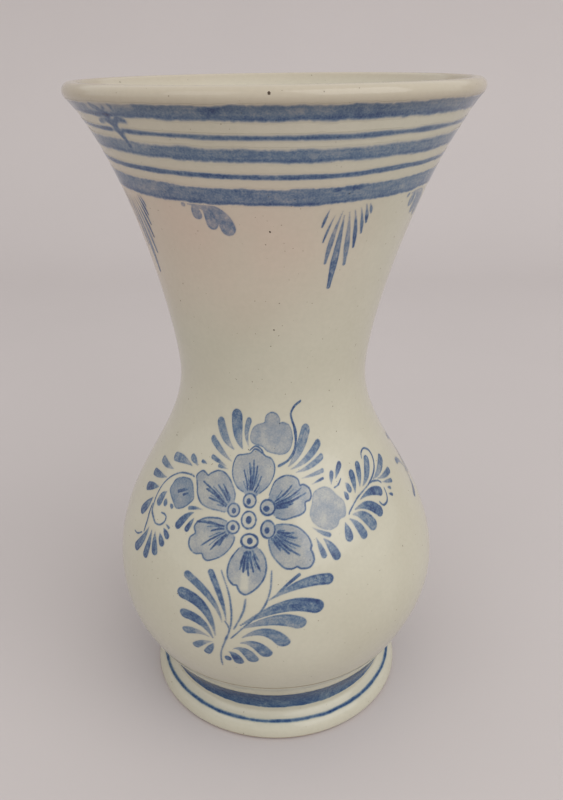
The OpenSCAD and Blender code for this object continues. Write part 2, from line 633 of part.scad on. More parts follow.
lower_left_leaves = [
    [2.0, [-14.3, 67], [-15.3, 75], [-20.8, 83.5]],
    [2.8, [-15.5, 66], [-17.5, 76], [-29.5, 80]],
    [4.2, [-17.5, 60], [-19.5, 74], [-30.5, 72.3]],
    [3.8, [-18.3, 58.5], [-21, 66.5], [-29, 64.7]],
    [2.8, [-19.5, 58.5], [-24, 60.5], [-28, 57.2]],
    [2.4, [-18.5, 56.5], [-22, 55.5], [-24.5, 51.5]],
    [2.2, [-18.2, 56], [-18.8, 54], [-20.7, 50]]];
lower_right_leaves = [
    [1.0, [-1.5, 76], [2, 80.5], [7.5, 84.3]],
    [3.6, [-2, 76], [8, 83.5], [17.5, 80.8]],
    [4.8, [-10, 66], [3, 78.5], [13.3, 71.6]],
    [4.6, [-10, 64.5], [1, 72], [7.8, 66.3]],
    [4.2, [-9.5, 61], [-2, 68], [2.7, 58.4]],
    [3.8, [-10, 58.5], [-5.5, 60.5], [-2.2, 53.3]],
    [3.4, [-12, 55.5], [-8.5, 57], [-6.2, 50]],
    [2.9, [-13.5, 53.5], [-11.5, 53], [-10.5, 48.2]],
    [2.0, [-14.5, 51], [-13.9, 50.4], [-13.8, 49]]];
stem_lines = [
    [0.8, [[-16, 45.5], [-16, 52], [-14.5, 58.5], [-13.3, 63.5], [-14.6, 66.6]]],
    [0.7, [[-17, 84], [-14, 77], [-12.8, 70], [-13, 64]]],
    [0.8, [[-12.8, 60], [-9, 65.5], [-4, 72.5], [-1.8, 79], [-1.4, 85.5]]],
    [0.8, [[-12, 64], [-9.5, 71], [-8.9, 75.8]]]];

// A feather under the neck's band, sideways from its middle, up from the band
feather = [
    [1.0, [-5.2, -1.5], [-6.2, -4.5], [-6.7, -7.2]],
    [0.9, [-3.2, -3.5], [-4.6, -7.5], [-5.6, -12.2]],
    [2.0, [-1, -2.5], [-2.8, -10], [-3.5, -19.5]],
    [3.0, [-0.2, -4], [0.2, -15], [-0.3, -28.2]],
    [2.3, [1.3, -3], [3.2, -11], [4.2, -20.7]],
    [1.7, [3, -2.5], [5.2, -8], [6.2, -15]],
    [1.3, [5, -2], [6.8, -6], [7.8, -10.7]],
    [1.4, [6.5, -1], [7.8, -4], [8.5, -7.2]],
    [1.2, [7.8, -0.9], [8.8, -2.6], [9.3, -4.2]]];
// A scroll leaf under the neck's band, in the same measure
scroll_leaf = [
    [1.4, [-6.6, -0.5], [-7.1, -1], [-7, -1.6]],
    [3.2, [-3.2, -0.3], [-3.4, -2.8], [-2.4, -5]],
    [3.8, [-1.1, -0.7], [2, -3.6], [1.4, -8]],
    [4.6, [-0.4, -0.6], [6.4, -2.4], [6.7, -9.7]]];

// The smaller bouquet on the back: a flower, two branches and the same lower sprays
back_a = art_r * PI;
back_middle = [back_a, 97];
back_petal_count = 5;
back_petal_turn = 18;
back_petal_away = 7.6;
back_petal_r = 4.3;
back_petal_wave = 0.4;
petal_points = 12;
function back_petal_angle(k) = back_petal_turn + 360 / back_petal_count * k;
function back_petal(a) = [for (i = [0:petal_points - 1])
    let (w = 360 / petal_points * i, r = back_petal_r + back_petal_wave * cos(3 * (w - a)))
    back_middle + back_petal_away * [cos(a), sin(a)] + r * [cos(w), sin(w)]];
back_petals = [for (k = [0:back_petal_count - 1]) back_petal(back_petal_angle(k))];
back_rings = [[0.8, 2.7, 2.6, back_middle]];
back_dots = [[1.2, 1.1, back_middle]];

// A branch to the side h starts near the flower and sways up and down; each of its
// leaves has its root, bend and tip measured from the place where its pair leaves
branch_start = [16, -4];
branch_step = 9.5;
branch_sway = 14;
branch_turn = 25;
leaf_wide = 3.1;
leaf_thinner = 0.15;
leaf_root = [1, 0.8];
leaf_bend = [2, 7];
leaf_end = [8.2, 12];
leaf_shorter = 0.7;
stem_wide = 0.8;
right_pairs = 6;
left_pairs = 8;
function branch_at(h, i) = back_middle
    + [h * (branch_start[0] + branch_step * i),
       branch_start[1] + branch_sway * sin(branch_turn * i)];
function branch_leaf(p, h, v, i) = [leaf_wide - leaf_thinner * i,
    p + [h * leaf_root[0], v * leaf_root[1]], p + [h * leaf_bend[0], v * leaf_bend[1]],
    p + [h * leaf_end[0], v * (leaf_end[1] - leaf_shorter * i)]];
function branch(h, n) =
    [for (i = [0:n - 1], v = [-1, 1]) branch_leaf(branch_at(h, i), h, v, i)];
function branch_stem(h, n) =
    [stem_wide, [for (i = [-0.4:0.5:n - 0.5]) branch_at(h, i)]];
// How far the back's lower sprays lie right of and below the front's
spray_right = 11;
spray_down = 1;
back_spray_move = [back_a + spray_right, -spray_down];

// How far the bouquet is moved from where it was read
bouquet_move = [0, flower_z - art_z];

// ---- Painted nodes ----------------------------------------------------------

module flower_petals() {
    color("lightsteelblue")
    for (p = petals) {
        patch(moved(smooth_loop(p), bouquet_move), wash_low, wash_top);
    }
}

module petal_lines() {
    color("darkslateblue") {
        for (p = petals) {
            hoop(moved(smooth_loop(p), bouquet_move), outline_wide, line_low, line_top);
        }
        strokes(petal_veins, bouquet_move);
    }
}

// Rings and dots of a flower's middle
module rosette(rings, dots) {
    for (c = rings) {
        hoop([for (i = [0:11]) bouquet_move + c[3]
              + [c[1] * cos(30 * i), c[2] * sin(30 * i)]], c[0], line_low, line_top);
    }
    for (c = dots) {
        patch([for (i = [0:8]) bouquet_move + c[2]
               + [c[0] * cos(40 * i), c[1] * sin(40 * i)]], line_low, line_top);
    }
}

module flower_centre() {
    color("darkslateblue")
    rosette(centre_rings, centre_dots);
}

module flower_buds() {
    color("lightsteelblue")
    for (p = buds) {
        patch(moved(smooth_loop(p), bouquet_move), wash_low, wash_top);
    }
}

module bud_lines() {
    color("darkslateblue") {
        for (p = buds) {
            hoop(moved(smooth_loop(p), bouquet_move), outline_wide, line_low, line_top);
        }
        strokes(bud_strokes, bouquet_move);
    }
}

module upper_spray() {
    color("midnightblue") {
        strokes(upper_leaves, bouquet_move);
        lines(upper_lines, bouquet_move);
    }
}

module left_scroll_line() {
    color("midnightblue")
    lines(left_scroll, bouquet_move);
}

module left_spray() {
    color("midnightblue")
    strokes(left_leaves, bouquet_move);
}

module right_spray() {
    color("midnightblue") {
        strokes(right_leaves, bouquet_move);
        lines(right_lines, bouquet_move);
    }
}

module lower_left_spray() {
    color("midnightblue")
    strokes(lower_left_leaves, bouquet_move);
}

module lower_right_spray() {
    color("midnightblue")
    strokes(lower_right_leaves, bouquet_move);
}

module stems() {
    color("midnightblue")
    lines(stem_lines, bouquet_move);
}

// Sideways distance of the angle w from the front
function around(w) = art_r * PI / 180 * w;
hang_z = brim[1] - band_5_drop - band_5_wide;

module neck_feathers() {
    color("midnightblue")
    for (w = feather_turns) {
        strokes(feather, [around(w), hang_z]);
    }
}

module neck_scroll_leaves() {
    color("midnightblue")
    for (w = leaf_turns) {
        strokes(scroll_leaf, [around(w), hang_z]);
    }
}

module back_flower_petals() {
    color("lightsteelblue")
    for (p = back_petals) {
        patch(moved(p, bouquet_move), wash_low, wash_top);
    }
}

module back_flower_lines() {
    color("darkslateblue") {
        for (p = back_petals) {
            hoop(moved(p, bouquet_move), outline_wide, line_low, line_top);
        }
        rosette(back_rings, back_dots);
    }
}

module back_left_branch() {
    color("midnightblue") {
        strokes(branch(-1, left_pairs), bouquet_move);
        lines([branch_stem(-1, left_pairs)], bouquet_move);
    }
}

module back_right_branch() {
    color("midnightblue") {
        strokes(branch(1, right_pairs), bouquet_move);
        lines([branch_stem(1, right_pairs)], bouquet_move);
    }
}

module back_lower_sprays() {
    color("midnightblue") {
        strokes(lower_left_leaves, bouquet_move + back_spray_move);
        strokes(lower_right_leaves, bouquet_move + back_spray_move);
    }
}

module back_stems() {
    color("midnightblue")
    lines(stem_lines, bouquet_move + back_spray_move);
}

foot_ring();
belly();
neck();
rolled_lip();
foot_seam_slip();
neck_seam_slip();
lip_seam_slip();
outer_glaze();
inner_glaze();
foot_recess_glaze();
rim_band();
rim_line();
mouth_band();
mouth_line();
neck_band();
foot_band();
foot_line();
base_hairline();
flower_petals();
petal_lines();
flower_centre();
flower_buds();
bud_lines();
upper_spray();
left_scroll_line();
left_spray();
right_spray();
lower_left_spray();
lower_right_spray();
stems();
neck_feathers();
neck_scroll_leaves();
back_flower_petals();
back_flower_lines();
back_left_branch();
back_right_branch();
back_lower_sprays();
back_stems();
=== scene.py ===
"""Looks of the painted vase: glaze, brushwork, floor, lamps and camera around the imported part.

Lengths are in millimetres until a mesh is made. A place on the vase's outside is (a, z): a is the
way around it at radius ART_R, from the front to the right, and z is the height. Paint is a number,
pigment: 0 is bare glaze and 1 is deep cobalt. It is worked out on a fine grid of places, and the
material tints the glaze by it.
"""

import math

import bpy
import numpy as np
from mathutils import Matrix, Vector
from mathutils.bvhtree import BVHTree


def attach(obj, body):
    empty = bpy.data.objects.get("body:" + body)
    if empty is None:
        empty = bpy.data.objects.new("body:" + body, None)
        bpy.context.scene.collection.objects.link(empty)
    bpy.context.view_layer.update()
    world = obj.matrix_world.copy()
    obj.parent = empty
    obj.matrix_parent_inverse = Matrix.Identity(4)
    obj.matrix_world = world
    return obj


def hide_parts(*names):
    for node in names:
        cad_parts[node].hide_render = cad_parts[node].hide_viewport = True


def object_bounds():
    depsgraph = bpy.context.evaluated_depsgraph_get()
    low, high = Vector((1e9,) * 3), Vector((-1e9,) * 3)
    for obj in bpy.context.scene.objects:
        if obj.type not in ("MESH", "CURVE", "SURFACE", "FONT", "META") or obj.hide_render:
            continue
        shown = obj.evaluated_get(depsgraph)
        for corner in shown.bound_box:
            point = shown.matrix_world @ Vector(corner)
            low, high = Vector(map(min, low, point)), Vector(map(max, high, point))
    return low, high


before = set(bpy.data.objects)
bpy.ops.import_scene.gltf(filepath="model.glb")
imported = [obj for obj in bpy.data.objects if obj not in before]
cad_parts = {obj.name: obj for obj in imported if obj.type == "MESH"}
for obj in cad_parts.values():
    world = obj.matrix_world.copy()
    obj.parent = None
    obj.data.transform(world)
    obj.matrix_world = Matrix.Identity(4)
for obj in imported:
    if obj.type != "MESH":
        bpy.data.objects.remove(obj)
cad_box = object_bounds()

MM = 0.001
W, H = 563, 800
LONG = max(W, H)

# Image points, in the photograph's frame
POINTS = {
    "rim_left": (62.8, 91),
    "rim_right": (486, 84),
    "rim_top": (320, 72.5),
    "foot_bottom": (275, 738),
    "belly_left": (121.4, 558),
    "belly_right": (429, 540),
    "neck_left": (181, 370),
    "neck_right": (367, 365),
    "flower_middle": (249, 520),
    "top_bud": (272, 436),
    "right_bud": (325, 508),
    "feather_tip": (331, 287),
    "neck_band": (280, 199),
    "foot_line": (275, 720.4),
    "speck_lip": (269, 93),
    "speck_lip_left": (120, 82),
    "speck_neck": (270, 232),
    "speck_low_neck": (274, 330),
    "speck_shoulder": (177, 435),
}

# Camera, settled by the image points
CAMERA_AWAY = 278.5
CAMERA_UP = 258.25
CAMERA_DOWN = 25.72
CAMERA_TURN = 0.47
LENS = 36.0
SENSOR = 36.0

# Lamps (place and size in metres, watts), the place that they light, and the room's own light
LAMPS = {"window": ((1.0, -0.95, 1.15), 1.7, 14), "room_side": ((-0.9, -1.0, 1.1), 1.0, 2.5)}
LIT_PLACE = (0, 0, 0.1)
ROOM_LIGHT = 0.93
# The paper floor in metres: its near end, where it begins to rise, the bend, its top, half width
PAPER_NEAR, PAPER_FAR, PAPER_BEND, PAPER_TOP, PAPER_HALF = -1.6, 0.55, 0.35, 0.7, 2.2

# Sizes of the vase, as in the part's source
HEIGHT = cad_box[1][2] / MM
RIM_R = 67.4
LIP_ROLL = 2.7
FLARE = 47
NECK_R, NECK_Z = 34.8, 140
BELLY_R, BELLY_Z = 63.8, 58.7
WAIST_R, WAIST_Z = 46.2, 9.8
FOOT_R = 52.2
SKIRT_R, SKIRT_Z = 49.1, 7.05
BASE_PULL, LOW_PULL, HIGH_PULL = 12, 25.4, 31.9
NECK_LOW_PULL, NECK_HIGH_PULL, MOUTH_PULL = 28.5, 19.8, 23.2
TOE_PULL, SKIRT_PULL, COVE_PULL, WAIST_PULL = 2, (2, -1.1), (-1.2, 0.66), 1.2
FLOOR_PULL = WELL_PULL = 20
BELLY_WALL, NECK_WALL = 5, 5.5
FLOOR_Z, FLOOR_R = 17.5, 24
BARE_Z = 1.2
ART_R = 50.8
# Steps around the glaze, and half the height over which the wall's slope is read
TURNS, SLOPE_STEP = 256, 0.2

# The unevenness of the hand-made pot, and the heights where each begins and is full
RIM_LEAN_RIGHT = 0.0117
RIM_LEAN_FRONT = 0.039
LEAN_FROM, LEAN_FULL = 226, 236
OVAL, OVAL_FROM, OVAL_FULL, OVAL_TURN = 0.12, 15, 60, 0.7
WAVE, WAVE_FROM, WAVE_FULL, WAVE_RISE = 0.06, 12, 40, 17
# How far the axis wanders to the left: distance, where it begins and is full, ends
WANDERS = [(-0.85, 62, 112, 150, 216), (-0.8, 12, 28, 36, 58)]
# The rings that the potter's fingers left inside: depth, rise, and how far below the rim they end
FINGER_DEEP, FINGER_RISE, FINGER_END = 0.12, 2.6, 12

# Rings of colour: low and high edge, tone, softness and waviness of the edges, and how
# much of the hand's drift the ring has
BANDS = [
    ("rim_band", 232.2, 235.2, 0.62, 0.35, 0.4, 0.0),
    ("rim_line", 228.4, 229.3, 0.70, 0.35, 0.3, 0.5),
    ("mouth_band", 222.5, 226.1, 0.56, 0.6, 0.5, 0.6),
    ("mouth_line", 217.6, 218.9, 0.72, 0.35, 0.3, 1.4),
    ("neck_band", 209.7, 214.7, 0.60, 0.35, 0.5, 1.1),
    ("foot_band", 11.5, 23.4, 0.86, 0.3, 0.4, 0.0),
    ("foot_line", 6.76, 7.28, 0.95, 0.2, 0.2, 0.0),
]
# The brown hairline above the foot, told in the same order
HAIRLINE = (32.2, 32.6, 0.6, 0.15, 0.1)
# A band taller than this is seen foreshortened, so its marks are drawn out upwards
TALL_BAND = 6
# The drift of the bands: places around the vase and how far the brush had moved up there
DRIFT = [(-160, 0.0), (-60, 0.15), (0, 0.0), (16, 0.05), (36, 0.6), (70, 0.6), (160, 0.0)]
# Colour dragged across the rings at the left of the rim, and darker dabs on two rings
SMEARS = [
    [1.9, [[-45.5, 234.6], [-43, 233.6], [-41.5, 232], [-40.3, 230], [-39.3, 227.6],
           [-38.4, 224.6]]],
    [1.2, [[-46, 230.6], [-43, 231.2], [-40.5, 230.4], [-38, 231.6], [-35.5, 231.3]]],
    [1.0, [[-41.4, 229], [-39.4, 228.2], [-37.6, 229.2]]],
    [1.1, [[-48, 233.2], [-45.4, 232.4], [-42.6, 232.8], [-40.5, 234.4]]]]
SMEAR_TONE = 0.66
DABS = [
    [2.6, 0.8, [-13, 234.2]], [3.6, 0.7, [22, 214.3]], [1.6, 0.6, [17, 214.1]],
    [1.4, 0.8, [-41.2, 232.4]]]
# Places where the rings are worn (low a, high a, low z, high z, share left)
WORN = [(-48, -38.5, 233.1, 237, 0.3), (-42, -38.6, 227.5, 230, 0.35),
        (-37, -31, 234.3, 237, 0.45)]

# Dark flecks in the glaze: the image point's name, half width and half height
SPECKS = [("speck_lip", 0.5, 0.4), ("speck_lip_left", 0.3, 0.25), ("speck_neck", 0.3, 0.4),
          ("speck_low_neck", 0.3, 0.3), ("speck_shoulder", 0.35, 0.25)]
# A fleck's rings (reach and rise, as shares), its sides, its height and how deep it sits
SPECK_RINGS = [(0.0, 1.0), (0.5, 0.86), (0.82, 0.5), (1.0, 0.0)]
SPECK_SIDES, SPECK_TALL, SPECK_DEEP = 14, 0.08, 0.02

# The motifs under the neck's band
HANG_Z = 209.7
FEATHER_PLACES = [ART_R * math.radians(w) for w in (23.7, 114, 204, -61.5)]
SCROLL_PLACES = [ART_R * math.radians(w) for w in (-23, 59.8, 157, 248)]
FEATHER_TONE, FEATHER_POINT = 0.64, 0.55
SCROLL_TONE = 0.34

# The bouquet was read with its middle at READ_Z; it sits RISE higher, and a little flatter
READ_Z, RISE, FLATTEN = 97, 0.8, 0.0115
FLOWER_MIDDLE = (-8.4, 100.3)
# A painted highlight on the lowest petal, where its paint is thinned (low a, high a, low z, high
# z, share left)
PETAL_HIGHLIGHT_PATCH = (-10.6, -8.4, 78.5, 84.5, 0.25)
# Tones of the washes in the petals, the buds and the rings, and of the outlines
WASH = 0.22
BUD_WASHES = (0.27, 0.25, 0.42)
PETAL_EDGE, BACK_PETAL_EDGE = 0.86, 0.72
BUD_EDGES = (0.5, 0.3, 0.85)
RING_WASHES = (0.08, 0.16, 0.22, 0.24, 0.06, 0.14, 0.2)
# Veins of a petal: width, how far from the ring's middle they begin, tone
MAIN_VEIN, FINE_VEIN = (0.66, 3.2, 1.0), (0.42, 4.6, 0.75)
# Widths of the outlines, and the share of its width as read that a thin line has
PETAL_LINE, BUD_LINE, LINE_SHARE = 0.5, 0.4, 0.72

# The back's bouquet
BACK_A, BACK_Z = ART_R * math.pi, 97
LEFT_PAIRS, RIGHT_PAIRS = 8, 6
BACK_SPRAY_MOVE = (BACK_A + 11, -1)
BACK_PETALS, BACK_PETAL_AWAY, BACK_PETAL_R = 5, 7.6, 4.3
BACK_LEAF_TONE, BACK_SPRAY_TONE, BACK_STEM_TONE = 0.72, 0.7, 0.78

# Sheets of paint: low and high a, low and high z, and the grid's step
HALF_ROUND = math.pi * ART_R
FRONT_SHEET = (-67, 72, 36, 146, 0.26)
BACK_SHEET = (BACK_A - 96, BACK_A + 90, 36, 130, 0.34)
NECK_SHEET = (-HALF_ROUND, HALF_ROUND + 24, HANG_Z - 31, HANG_Z + 2, 0.25)
SMEAR_SHEET = (-54, 30, 209, 236.5, 0.25)
RING_STEP = 0.22
# Thinner pigment than this makes no skin, and how far off the glaze the skins lie
DRY, SKIN_OFF, SMEAR_OFF = 0.004, 0.03, 0.05

# Colours, linear
COBALT = (0.095, 0.188, 0.47)
COBALT_WASH = (0.090, 0.137, 0.388)
BROWN_LINE = (0.22, 0.13, 0.08)
GLAZE_PALE = (0.484, 0.462, 0.372)
GLAZE_DEEP = (0.450, 0.426, 0.336)
GLAZE_PINK = (0.508, 0.413, 0.335)
# The painted shade on the top of the lip
LIP_SHADE_COLOUR = (0.395, 0.342, 0.262)
SPECK = (0.06, 0.04, 0.025)
CLAY = (0.46, 0.30, 0.20)
FLOOR = (0.513, 0.477, 0.470)
ROOM = (0.98, 0.96, 0.95)
# Where the pink flush comes in upwards and leftwards, where it fades again at the top, and
# where the top of the lip is darkened as painted shade, all in metres
FLUSH_RISE, FLUSH_SIDE, FLUSH_FADE = (0.160, 0.195), (0.035, -0.005), (0.222, 0.208)
LIP_SHADE_RISE = (0.2335, 0.2375)
# Pigment depths between which a thin wash turns into full cobalt
WASH_DEPTHS = (0.22, 0.6)
# The specular level of the glaze, and of the paint at the foot
GLOSS, FOOT_GLOSS = 0.5, 0.03

# The painting as it was read: outlines are rows of places; a stroke is [width, root, bend, tip],
# a line [width, [places]], a ring [width, half width, half height, middle] and a dot the same
# without the first
PETALS = [
    [[-13, 109], [-16, 110.5], [-18.3, 113.5], [-18.8, 117], [-17.5, 120], [-14.5, 120.8],
     [-11.5, 121.5], [-9.5, 123], [-6.5, 122], [-4.5, 120.8], [-2, 120], [-0.5, 117.5],
     [-1, 114.5], [-3.2, 111.3], [-6.5, 109]],
    [[-2.6, 108.5], [-0.8, 112.2], [1.5, 113.8], [4.5, 114.5], [7.5, 114], [9.3, 112.8],
     [9.8, 111.2], [11.5, 111.1], [13.5, 109.8], [14, 107.7], [13.2, 106.3], [11.3, 105.7],
     [11, 103.5], [9.3, 102.3], [6, 101.6], [3, 101.1], [0, 101.8]],
    [[0.2, 99.6], [3, 99.7], [6.5, 99], [9, 97.5], [11, 95.2], [11.8, 92.8], [11.4, 91.3],
     [11.9, 90], [12, 87.8], [10.5, 86], [8, 85.8], [6.5, 86.5], [5, 86], [2.8, 86.3],
     [0.8, 88], [-1.2, 90.5], [-2.2, 93], [-2.5, 95]],
    [[-12, 92], [-13.5, 90], [-14.7, 87.5], [-15.1, 84.5], [-14.6, 82], [-13, 80.2],
     [-11.8, 80], [-10.8, 78.2], [-9.2, 77.3], [-7.5, 78.2], [-5.5, 80.2], [-4, 82.5],
     [-3.2, 85], [-3.1, 87.5], [-3.8, 90], [-5.3, 92]],
    [[-17.7, 99.3], [-20, 99.7], [-23, 99.5], [-26, 98.7], [-28.5, 97], [-29.5, 95],
     [-28.5, 93.3], [-30, 91.5], [-30, 89.5], [-28.8, 87.8], [-26.8, 87.1], [-24.5, 87.7],
     [-23.5, 86.5], [-21.8, 86.2], [-18, 88.3], [-15.5, 91], [-14.3, 93.5], [-14.1, 95]],
    [[-16, 106.3], [-16.3, 108.3], [-18, 110.8], [-20, 112.8], [-22.5, 114], [-25.5, 114],
     [-28.5, 112.5], [-29.5, 111.7], [-32.5, 112.5], [-34.9, 110.5], [-34.2, 109],
     [-33, 107], [-32, 105], [-29.5, 102.8], [-26, 102], [-22, 102], [-19, 102]]]
# The tips of the veins of each petal
VEIN_TIPS = [
    [[-13.3, 114.8], [-11.3, 117], [-9.7, 118], [-8.2, 116.3], [-6.5, 113.4]],
    [[5.5, 110.6], [8.8, 109.6], [10.5, 108.2], [7.5, 107], [5.5, 105.7], [3.6, 104.8]],
    [[5.2, 97], [6, 95.6], [6.8, 93.2], [6.5, 90.8], [3.5, 91.5], [1, 92.5]],
    [[-11, 86.3], [-10, 85.6], [-8.5, 84.8], [-7.2, 86], [-5.2, 86.3]],
    [[-22, 95.7], [-24.2, 91], [-21, 90.6], [-18.6, 92.3], [-27.5, 97]],
    [[-29.2, 108.7], [-27.2, 107], [-25.5, 104.9], [-23, 109], [-21, 109.5]]]
CENTRE_RINGS = [
    [0.5, 2.6, 2.6, [-9.8, 100.7]], [0.8, 2.4, 2.1, [-10.1, 106.6]],
    [1.0, 2.7, 2.3, [-3.1, 104.8]], [0.8, 2.4, 2.6, [-2.8, 98.2]],
    [1.0, 2.8, 2.1, [-8.9, 94.4]], [0.8, 2.2, 1.9, [-15.2, 97.9]],
    [0.8, 2.2, 2.0, [-15.8, 103.1]]]
CENTRE_DOTS = [
    [1.1, 1.1, [-9.8, 100.7]], [0.9, 0.9, [-10.5, 106.3]], [1.3, 0.8, [-3.6, 104.4]],
    [0.9, 0.9, [-3.1, 97.9]], [1.0, 0.9, [-8.8, 94.4]], [0.9, 0.8, [-15.2, 97.8]],
    [0.9, 0.8, [-15.7, 102.9]]]
BUDS = [
    [[-9.6, 124.6], [-11.8, 126], [-11.5, 129], [-9.5, 131], [-6, 132], [-5.3, 132.5],
     [-4.5, 134.8], [-2, 136], [0.5, 135.3], [2, 133.5], [2, 132.2], [4, 132.2],
     [6.5, 131], [7.8, 128.5], [7.9, 126], [6.8, 123.4], [4.8, 121.8], [1.9, 121.4],
     [-1, 121.9], [-3.8, 122.5], [-6.2, 124]],
    [[14.8, 107.5], [16.2, 108.6], [19.5, 109.2], [22.3, 108.3], [24.5, 106],
     [26.8, 103.5], [27, 101], [26, 99], [23.5, 98.4], [22, 96.8], [19, 96.2],
     [16.5, 97], [14, 98.8], [12.8, 101], [12.9, 103], [14, 105]],
    [[-44.8, 106], [-42, 107.6], [-38, 108.3], [-36, 107.5], [-34.4, 105.4],
     [-33.2, 103.2], [-34.2, 101.5], [-36, 99.6], [-38, 98.4], [-40, 98],
     [-42.5, 99.5], [-45, 101], [-46.2, 102.2], [-45.8, 104]]]
BUD_STROKES = [
    [1.3, [-35.5, 105.5], [-39, 104.5], [-41.8, 102.8]],
    [0.9, [-36, 104], [-37.2, 103.7], [-38.6, 102.7]]]
UPPER_LEAVES = [
    [4.2, [-19.5, 122], [-26, 125], [-28.5, 132]],
    [5.5, [-15.5, 122.8], [-19.5, 127], [-19.3, 136]],
    [2.6, [-12.4, 123.5], [-15.5, 128], [-12.6, 133.5]],
    [2.6, [-20, 118], [-26, 120.5], [-32, 124.5]],
    [1.6, [-22, 116], [-26, 117.2], [-30, 118]],
    [1.1, [-21, 115.2], [-23.5, 115.6], [-25.8, 115.6]],
    [4.4, [5.6, 117.4], [11, 121], [15.5, 130.5]],
    [3.0, [6.6, 116.4], [15, 118.5], [21.5, 124.5]],
    [2.2, [8.6, 115.2], [15, 116], [22, 119.3]],
    [1.4, [11, 113.2], [16, 113.7], [21.3, 114.5]],
    [0.8, [15, 110.8], [17.8, 111.6], [20.5, 112]]]
UPPER_LINES = [
    [1.6, [[12.5, 139.6], [9.5, 138], [7.6, 135.5], [8, 133], [9.2, 130], [9.6, 126.5],
           [8.7, 122.5], [5.6, 119.4], [1.2, 117.6]]],
    [0.7, [[-12, 122.3], [-9.5, 123.9], [-7, 123.2], [-5.6, 121.9]]]]
LEFT_SCROLL = [
    [0.9, [[-36, 109.6], [-38, 109.8], [-43, 108.9], [-47, 106.8], [-50, 104],
           [-51.7, 101], [-52.3, 97.5], [-52, 94.5], [-51.2, 92], [-49, 90.5],
           [-47, 89.5], [-44.5, 90], [-42.8, 91.8], [-42.8, 93.5], [-44, 94],
           [-45.8, 93.8]]],
    [0.8, [[-52.6, 94], [-52.4, 91], [-51.8, 88], [-51.5, 84]]],
    [0.7, [[-52.5, 83], [-55, 81], [-57.5, 80.5]]]]
LEFT_LEAVES = [
    [3.2, [-47.4, 100.5], [-49.6, 98.5], [-49.2, 95]],
    [2.0, [-46, 98.6], [-46.3, 97.4], [-45, 96.6]],
    [1.3, [-43.2, 98], [-42.3, 97.8], [-41.3, 97.2]],
    [3.0, [-49.5, 86.5], [-49.8, 82], [-53.8, 75.8]],
    [2.6, [-47.5, 86.5], [-46.5, 82], [-47.3, 76.2]],
    [2.8, [-45.5, 86.8], [-44.3, 83.5], [-42.5, 79.8]],
    [2.4, [-43, 87.6], [-41.8, 86], [-40.2, 84.3]],
    [2.0, [-42, 89.8], [-40.5, 89], [-38.8, 87.6]],
    [0.8, [-42, 91.5], [-40.8, 91.3], [-39.5, 90.8]],
    [2.6, [-31.4, 99], [-34.5, 97.4], [-36.8, 92.3]],
    [1.8, [-30.6, 97.4], [-31.4, 95.6], [-32.6, 92.6]],
    [1.2, [-28, 100.9], [-31.5, 100.8], [-34.2, 99.7]],
    [3.2, [-39, 112.5], [-45, 113.6], [-52, 111.8]],
    [2.4, [-36, 113.4], [-38.5, 115], [-41, 115.4]],
    [1.1, [-31.5, 115], [-33, 115.4], [-34.5, 115.3]],
    [2.6, [-49, 108.2], [-54, 107.5], [-60, 108]],
    [2.6, [-51.2, 104.3], [-56, 103], [-62, 102]],
    [3.0, [-53.4, 99.8], [-57, 98.5], [-62, 96]],
    [3.6, [-54, 95.5], [-55.5, 92], [-58, 88]]]
RIGHT_LEAVES = [
    [1.9, [23.4, 109.5], [24, 112], [25, 113.5]],
    [2.2, [26, 110.9], [27.5, 113], [30, 115.3]],
    [2.2, [29.9, 108.4], [31, 107.2], [31.2, 105.2]],
    [1.8, [28.2, 106], [29.2, 105], [29, 103.3]],
    [2.9, [33.3, 104.5], [34.6, 108], [34.3, 111.6]],
    [2.8, [36.5, 105.5], [38.2, 108.5], [39.5, 113.2]],
    [3.4, [38, 105.2], [43.5, 107.3], [46.3, 113]],
    [3.2, [45, 105.3], [52, 105.5], [57.5, 109.5]],
    [2.2, [48, 104.4], [53, 103], [59.3, 103.4]],
    [1.4, [50, 102.3], [53, 101.3], [57, 100]],
    [1.0, [51.3, 99.8], [52.4, 99.3], [53.6, 98.6]],
    [1.0, [50.5, 97.8], [51.6, 97.2], [52.8, 96.5]],
    [3.0, [34.8, 101.8], [42, 103.6], [47.3, 99.8]],
    [3.6, [31, 99.6], [38.5, 100.6], [42.6, 94]],
    [4.0, [29.5, 98.4], [35, 97.5], [37, 91.4]],
    [3.0, [27.6, 97.4], [30.8, 95], [31.8, 90]],
    [2.9, [25.4, 96.8], [25.8, 94], [25.6, 91]],
    [1.4, [12.9, 97.8], [16, 95.6], [19, 94.4]],
    [1.9, [13.7, 94.5], [15, 91], [15.8, 88]],
    [2.9, [16.3, 93.8], [18.6, 91.5], [20.2, 86.6]]]
RIGHT_LINES = [
    [0.7, [[24.4, 108.2], [26.4, 108.7], [28.3, 110.2]]],
    [0.9, [[43, 113.3], [44, 115], [46.5, 115.7], [49.5, 114.3], [50.7, 112],
           [50, 109.5], [48, 107.5], [45, 106], [41, 104.6]]],
    [0.8, [[43.5, 97.8], [44.8, 96.2], [47.5, 96.3], [49, 98], [49.3, 100.5]]],
    [0.7, [[27.8, 98.9], [29, 100], [34, 102.8], [42, 104.8]]],
    [0.8, [[42, 104.9], [44, 104.8], [47.5, 103.8], [49, 102.5]]]]
LOWER_LEFT_LEAVES = [
    [2.0, [-14.3, 67], [-15.3, 75], [-20.8, 83.5]],
    [2.8, [-15.5, 66], [-17.5, 76], [-29.5, 80]],
    [4.2, [-17.5, 60], [-19.5, 74], [-30.5, 72.3]],
    [3.8, [-18.3, 58.5], [-21, 66.5], [-29, 64.7]],
    [2.8, [-19.5, 58.5], [-24, 60.5], [-28, 57.2]],
    [2.4, [-18.5, 56.5], [-22, 55.5], [-24.5, 51.5]],
    [2.2, [-18.2, 56], [-18.8, 54], [-20.7, 50]]]
